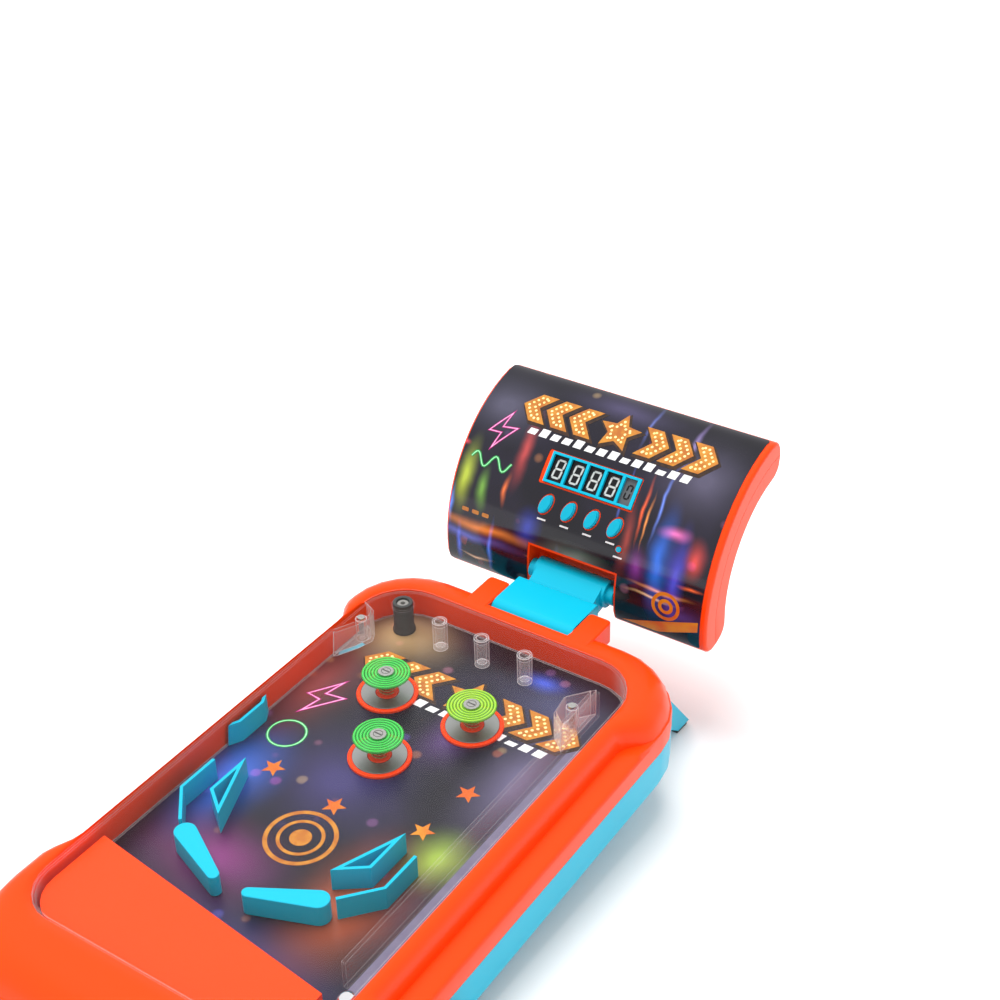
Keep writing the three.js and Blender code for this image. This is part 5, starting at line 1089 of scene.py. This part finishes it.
class PINBALL_OT_playfield_sheet(bpy.types.Operator):
    """Playfield panel with its printed sheet"""
    bl_idname = "pinball.playfield_sheet"
    bl_label = "Playfield sheet"

    def execute(self, context):
        materials(context)
        refined("playfield_panel", "playfield_board", "moulded_abs_black", 35,
                "moulded_abs_cyan", beyond(high=BOARD_TOP))
        holes = [ellipse(x, FLIPPER_Y, SHAFT_HOLE, SHAFT_HOLE, 0, 24) for x in FLIPPER_SHAFTS]
        sheet_piece("playfield_film", [self.outline(0.8)] + holes, 9, field_film,
                    "satin_film_playfield", "body", FIELD_FILM)
        self.motifs(context.scene.pinball_print.lamp_spacing * 1.1)
        return {"FINISHED"}

    def outline(self, outset):
        """Outline of the play opening, a little wider."""
        back, front = PLAY_BACK_RADIUS, PLAY_FRONT_RADIUS
        return corner_arcs((
            (PLAY_RIGHT - back, PLAY_BACK - back, back + outset, 0),
            (PLAY_LEFT + back, PLAY_BACK - back, back + outset, 90),
            (PLAY_LEFT + front, PLAY_FRONT + front, front + outset, 180),
            (PLAY_RIGHT - front, PLAY_FRONT + front, front + outset, 270)), 12)

    def motifs(self, lamp_spacing):
        """Plain shapes printed over the ground."""
        marquee(FIELD, (-2, -48), 1.1, lamp_spacing)
        bolt = [(-84, -76), (-72, -58), (-75, -71), (-63, -69), (-78, -90), (-75, -77)]
        neon(FIELD, "bolt", bolt, 1.6, "pink")
        neon(FIELD, "ring", ellipse(-72, -110, 22, 22, 0, 48), 1.8, "green")
        corner = [(-91, -39), (-85, -27), (-83.4, -22.4), (-86.6, -21.8), (-88.6, -27.5), (-92.8, -36)]
        lane = rounded_box(69.6, 83.4, -280, -34, 2)
        stars = [star(x, y, 7, 3) for x, y in ((42, -96), (-60, -136), (38, -132), (-13, -142))]
        target = [ellipse(-13.2, -170, d, d, 0, 44) for d in (40, 35, 26, 22, 12)]
        for row in (("corner_mark", [corner], 2, "cyan_ink"), ("lane", [lane], 1, "lavender_ink"),
                    ("stars", stars, 2, "amber_ink"), ("target", target, 2, "gold_ink")):
            printed(FIELD, *row)


class PINBALL_OT_display(bpy.types.Operator):
    """Digits behind the windows of the bezel"""
    bl_idname = "pinball.display"
    bl_label = "Display"

    def execute(self, context):
        materials(context)
        left, half = BEZEL_EDGE - BEZEL_WIDTH / 2, WINDOW_HEIGHT / 2
        loops, small, backing = [], [], []
        for k, width in enumerate(WINDOW_WIDTHS):
            middle = left + width / 2
            if k < 4:
                loops += self.digit(middle, 6.2, 12.6, 1.25, (1, 1, 1, 1, 1, 1, 1))
            else:
                backing.append([(left, -half), (left + width, -half), (left + width, half), (left, half)])
                small += self.digit(middle, 4, 9.6, 1.1, (1, 1, 1, 0, 1, 1, 1))
            left += width + WINDOW_BAR
        self.flat("display_digits", loops, "lcd_segment_ink", 0.1)
        self.flat("display_small_field", backing, "window_grey_abs", 0.1)
        self.flat("display_small_digit", small, "moulded_abs_black", 0.18)
        return {"FINISHED"}

    def digit(self, x, width, height, stroke, lit):
        """The lit bars of one seven-bar digit, leaning a little, from the top down."""
        w, h, s, g = width / 2, height / 2, stroke, 0.22
        across = [(-w + g, 0), (-w + s, s / 2), (w - s, s / 2), (w - g, 0), (w - s, -s / 2), (-w + s, -s / 2)]
        upright = [(0, -h / 2 + g), (s / 2, -h / 2 + s), (s / 2, h / 2 - s), (0, h / 2 - g),
                   (-s / 2, h / 2 - s), (-s / 2, -h / 2 + s)]
        bars = [[(u, v + h - s / 2) for u, v in across], [(u - w + s / 2, v + h / 2) for u, v in upright],
                [(u + w - s / 2, v + h / 2) for u, v in upright], across,
                [(u - w + s / 2, v - h / 2) for u, v in upright],
                [(u + w - s / 2, v - h / 2) for u, v in upright], [(u, v - h + s / 2) for u, v in across]]
        return [[(x + u + 0.09 * v, v) for u, v in bar] for bar, on in zip(bars, lit) if on]

    def flat(self, name, loops, finish, lift):
        """Flat patches in the display's plane."""
        sheet_piece(name, loops, 30, lambda x, up: display_point(x, up, lift), finish, "head", 0.05)


class PINBALL_OT_keys(bpy.types.Operator):
    """Oval keys and the small reset key"""
    bl_idname = "pinball.keys"
    bl_label = "Keys"

    def execute(self, context):
        materials(context)
        for key in ("key_1", "key_2", "key_3", "key_4", "reset_key"):
            refined(key, f"{key}_moulding", "moulded_abs_cyan", 50)
        return {"FINISHED"}


class PINBALL_OT_screws(bpy.types.Operator):
    """Screws in the cover's bosses, the base's wells and the back of the score panel"""
    bl_idname = "pinball.screws"
    bl_label = "Screws"

    def execute(self, context):
        materials(context)
        up, down = deck_direction(0, 0, 1), deck_direction(0, 0, -1)
        self.drive("cover_screws", [(deck(x, y, 17.2), up) for x, y in COVER_BOSSES], 2.3, 1.1, "body")
        self.drive("base_screws", [(deck(x, y, -18.7), down) for x, y in BASE_WELLS], 2.7, 1.2, "body")
        angles = [radians(degrees) for degrees in PANEL_WELL_DEGREES]
        self.drive("panel_screws", [
            (deck(x, *about_bend(angle, BACK_SHELL_RADIUS + 0.5)), deck_direction(0, cos(angle), -sin(angle)))
            for x in PANEL_WELL_X for angle in angles], 2.6, 0.8, "head")
        return {"FINISHED"}

    def drive(self, name, seats, radius, height, body):
        """Sets a screw on every seat, each a point and the way it faces."""
        sizes = {"Radius": radius * MM, "Height": height * MM}
        grow(shared_tree("cross_screws", screw_tree), name, point_mesh(name, *zip(*seats)), sizes,
             "nickelled_steel", body, None, 30)


class PINBALL_OT_studio(bpy.types.Operator):
    """Pale floor, soft lamp, white surroundings and the camera"""
    bl_idname = "pinball.studio"
    bl_label = "Studio"

    def execute(self, context):
        scene = context.scene
        self.floor(scene.pinball_studio)
        self.world(scene)
        self.sky_lamp(scene.pinball_studio)
        self.camera(scene)
        scene.view_settings.view_transform = "Standard"
        return {"FINISHED"}

    def seen_path(self, tree):
        """One where the camera, gloss or clear plastic looks, and nought where light is gathered."""
        rays = add_node(tree, "ShaderNodeLightPath").outputs
        either = add_node(tree, "ShaderNodeMath", {"operation": "MAXIMUM"},
                          {0: rays["Is Camera Ray"], 1: rays["Is Glossy Ray"]})
        return add_node(tree, "ShaderNodeMath", {"operation": "MAXIMUM"},
                        {0: either, 1: rays["Is Transmission Ray"]})

    def floor(self, studio):
        """A wide pale floor that keeps the game's shadow."""
        tree, shader = new_material("matt_pale_board", {"Roughness": 0.8, "Specular IOR Level": 0.05})
        patches = noise(tree, object_place(tree), 40)
        feed(tree, shader, {"Base Color": ramp(tree, patches, [(0, grey(0.9)), (1, grey(0.92))])})
        lift = add_node(tree, "ShaderNodeMath", {"operation": "MULTIPLY", 1: studio.floor_lift},
                        {0: self.seen_path(tree)})
        glow = add_node(tree, "ShaderNodeEmission", {"Color": (1, 1, 1, 1)}, {"Strength": lift})
        both = add_node(tree, "ShaderNodeAddShader", links={0: shader, 1: glow})
        feed(tree, tree.nodes["Material Output"], {"Surface": both})
        size = 6.0
        mesh = mesh_from("floor", [(-size, -size, 0), (size, -size, 0), (size, size, 0), (-size, size, 0)],
                         [(0, 1, 2, 3)], "matt_pale_board")
        floor = in_scene("floor", mesh)

    def world(self, scene):
        """White surroundings, at full white where the camera, gloss or clear plastic sees them."""
        scene.world = bpy.data.worlds.new("white_surroundings")
        scene.world.use_nodes = True
        tree = scene.world.node_tree
        tree.nodes.clear()
        lit, seen = [
            add_node(tree, "ShaderNodeBackground", {"Color": (1, 1, 1, 1), "Strength": level})
            for level in (scene.pinball_studio.world_level, 1)]
        mix = add_node(tree, "ShaderNodeMixShader", links={"Fac": self.seen_path(tree), 1: lit, 2: seen})
        add_node(tree, "ShaderNodeOutputWorld", links={"Surface": mix})

    def sky_lamp(self, studio):
        """One very wide soft lamp, high up and to the left."""
        data = bpy.data.lights.new("overhead_softbox", "SUN")
        data.energy, data.angle = studio.lamp_strength, studio.lamp_width
        lamp = in_scene("overhead_softbox", data)
        lamp.visible_glossy = False
        turn = deck_direction(0.26, -0.1, -0.96).to_track_quat("-Z", "Y")
        lamp.matrix_world = Matrix.Translation((-0.8, -0.3, 1.8)) @ turn.to_matrix().to_4x4()

    def camera(self, scene):
        """The photograph's view."""
        data = bpy.data.cameras.new("photo_camera")
        data.sensor_width, data.sensor_fit = 36, "HORIZONTAL"
        data.lens = scene.pinball_studio.lens
        data.clip_start, data.clip_end = 0.05, 20
        axes = Matrix([DECK_TILT @ axis for axis in (CAMERA_RIGHT, -CAMERA_DOWN, -CAMERA_FORWARD)])
        scene.camera = in_scene("photo_camera", data)
        scene.camera.matrix_world = Matrix.Translation(deck(*CAMERA_PLACE)) @ axes.transposed().to_4x4()


class PINBALL_PT_panel(bpy.types.Panel):
    """Pieces of the pinball game"""
    bl_label = "Pinball game"
    bl_idname = "PINBALL_PT_panel"
    bl_space_type = "VIEW_3D"
    bl_region_type = "UI"
    bl_category = "Pinball"

    def draw(self, context):
        scene = context.scene
        for group in [getattr(scene, label) for label in GROUPS]:
            for name in group.__annotations__:
                self.layout.prop(group, name)
        for step in OPERATORS:
            self.layout.operator(step.bl_idname)


OPERATORS = (
    PINBALL_OT_mouldings, PINBALL_OT_works, PINBALL_OT_cover, PINBALL_OT_bumpers, PINBALL_OT_panel_sheet,
    PINBALL_OT_playfield_sheet, PINBALL_OT_display, PINBALL_OT_keys, PINBALL_OT_screws, PINBALL_OT_studio)
GROUPS = {"pinball_finish": FinishProperties, "pinball_print": PrintProperties,
          "pinball_studio": StudioProperties}
CLASSES = (*GROUPS.values(), *OPERATORS, PINBALL_PT_panel)


def register():
    """Adds the classes and their settings."""
    for item in CLASSES:
        bpy.utils.register_class(item)
    for name, group in GROUPS.items():
        setattr(bpy.types.Scene, name, bpy.props.PointerProperty(type=group))


def unregister():
    """Takes the classes and their settings away."""
    for name in GROUPS:
        delattr(bpy.types.Scene, name)
    for item in reversed(CLASSES):
        bpy.utils.unregister_class(item)


def main():
    """Builds every piece in order."""
    register()
    for step in OPERATORS:
        group, name = step.bl_idname.split(".")
        getattr(getattr(bpy.ops, group), name)()


if __name__ == "__main__":
    main()
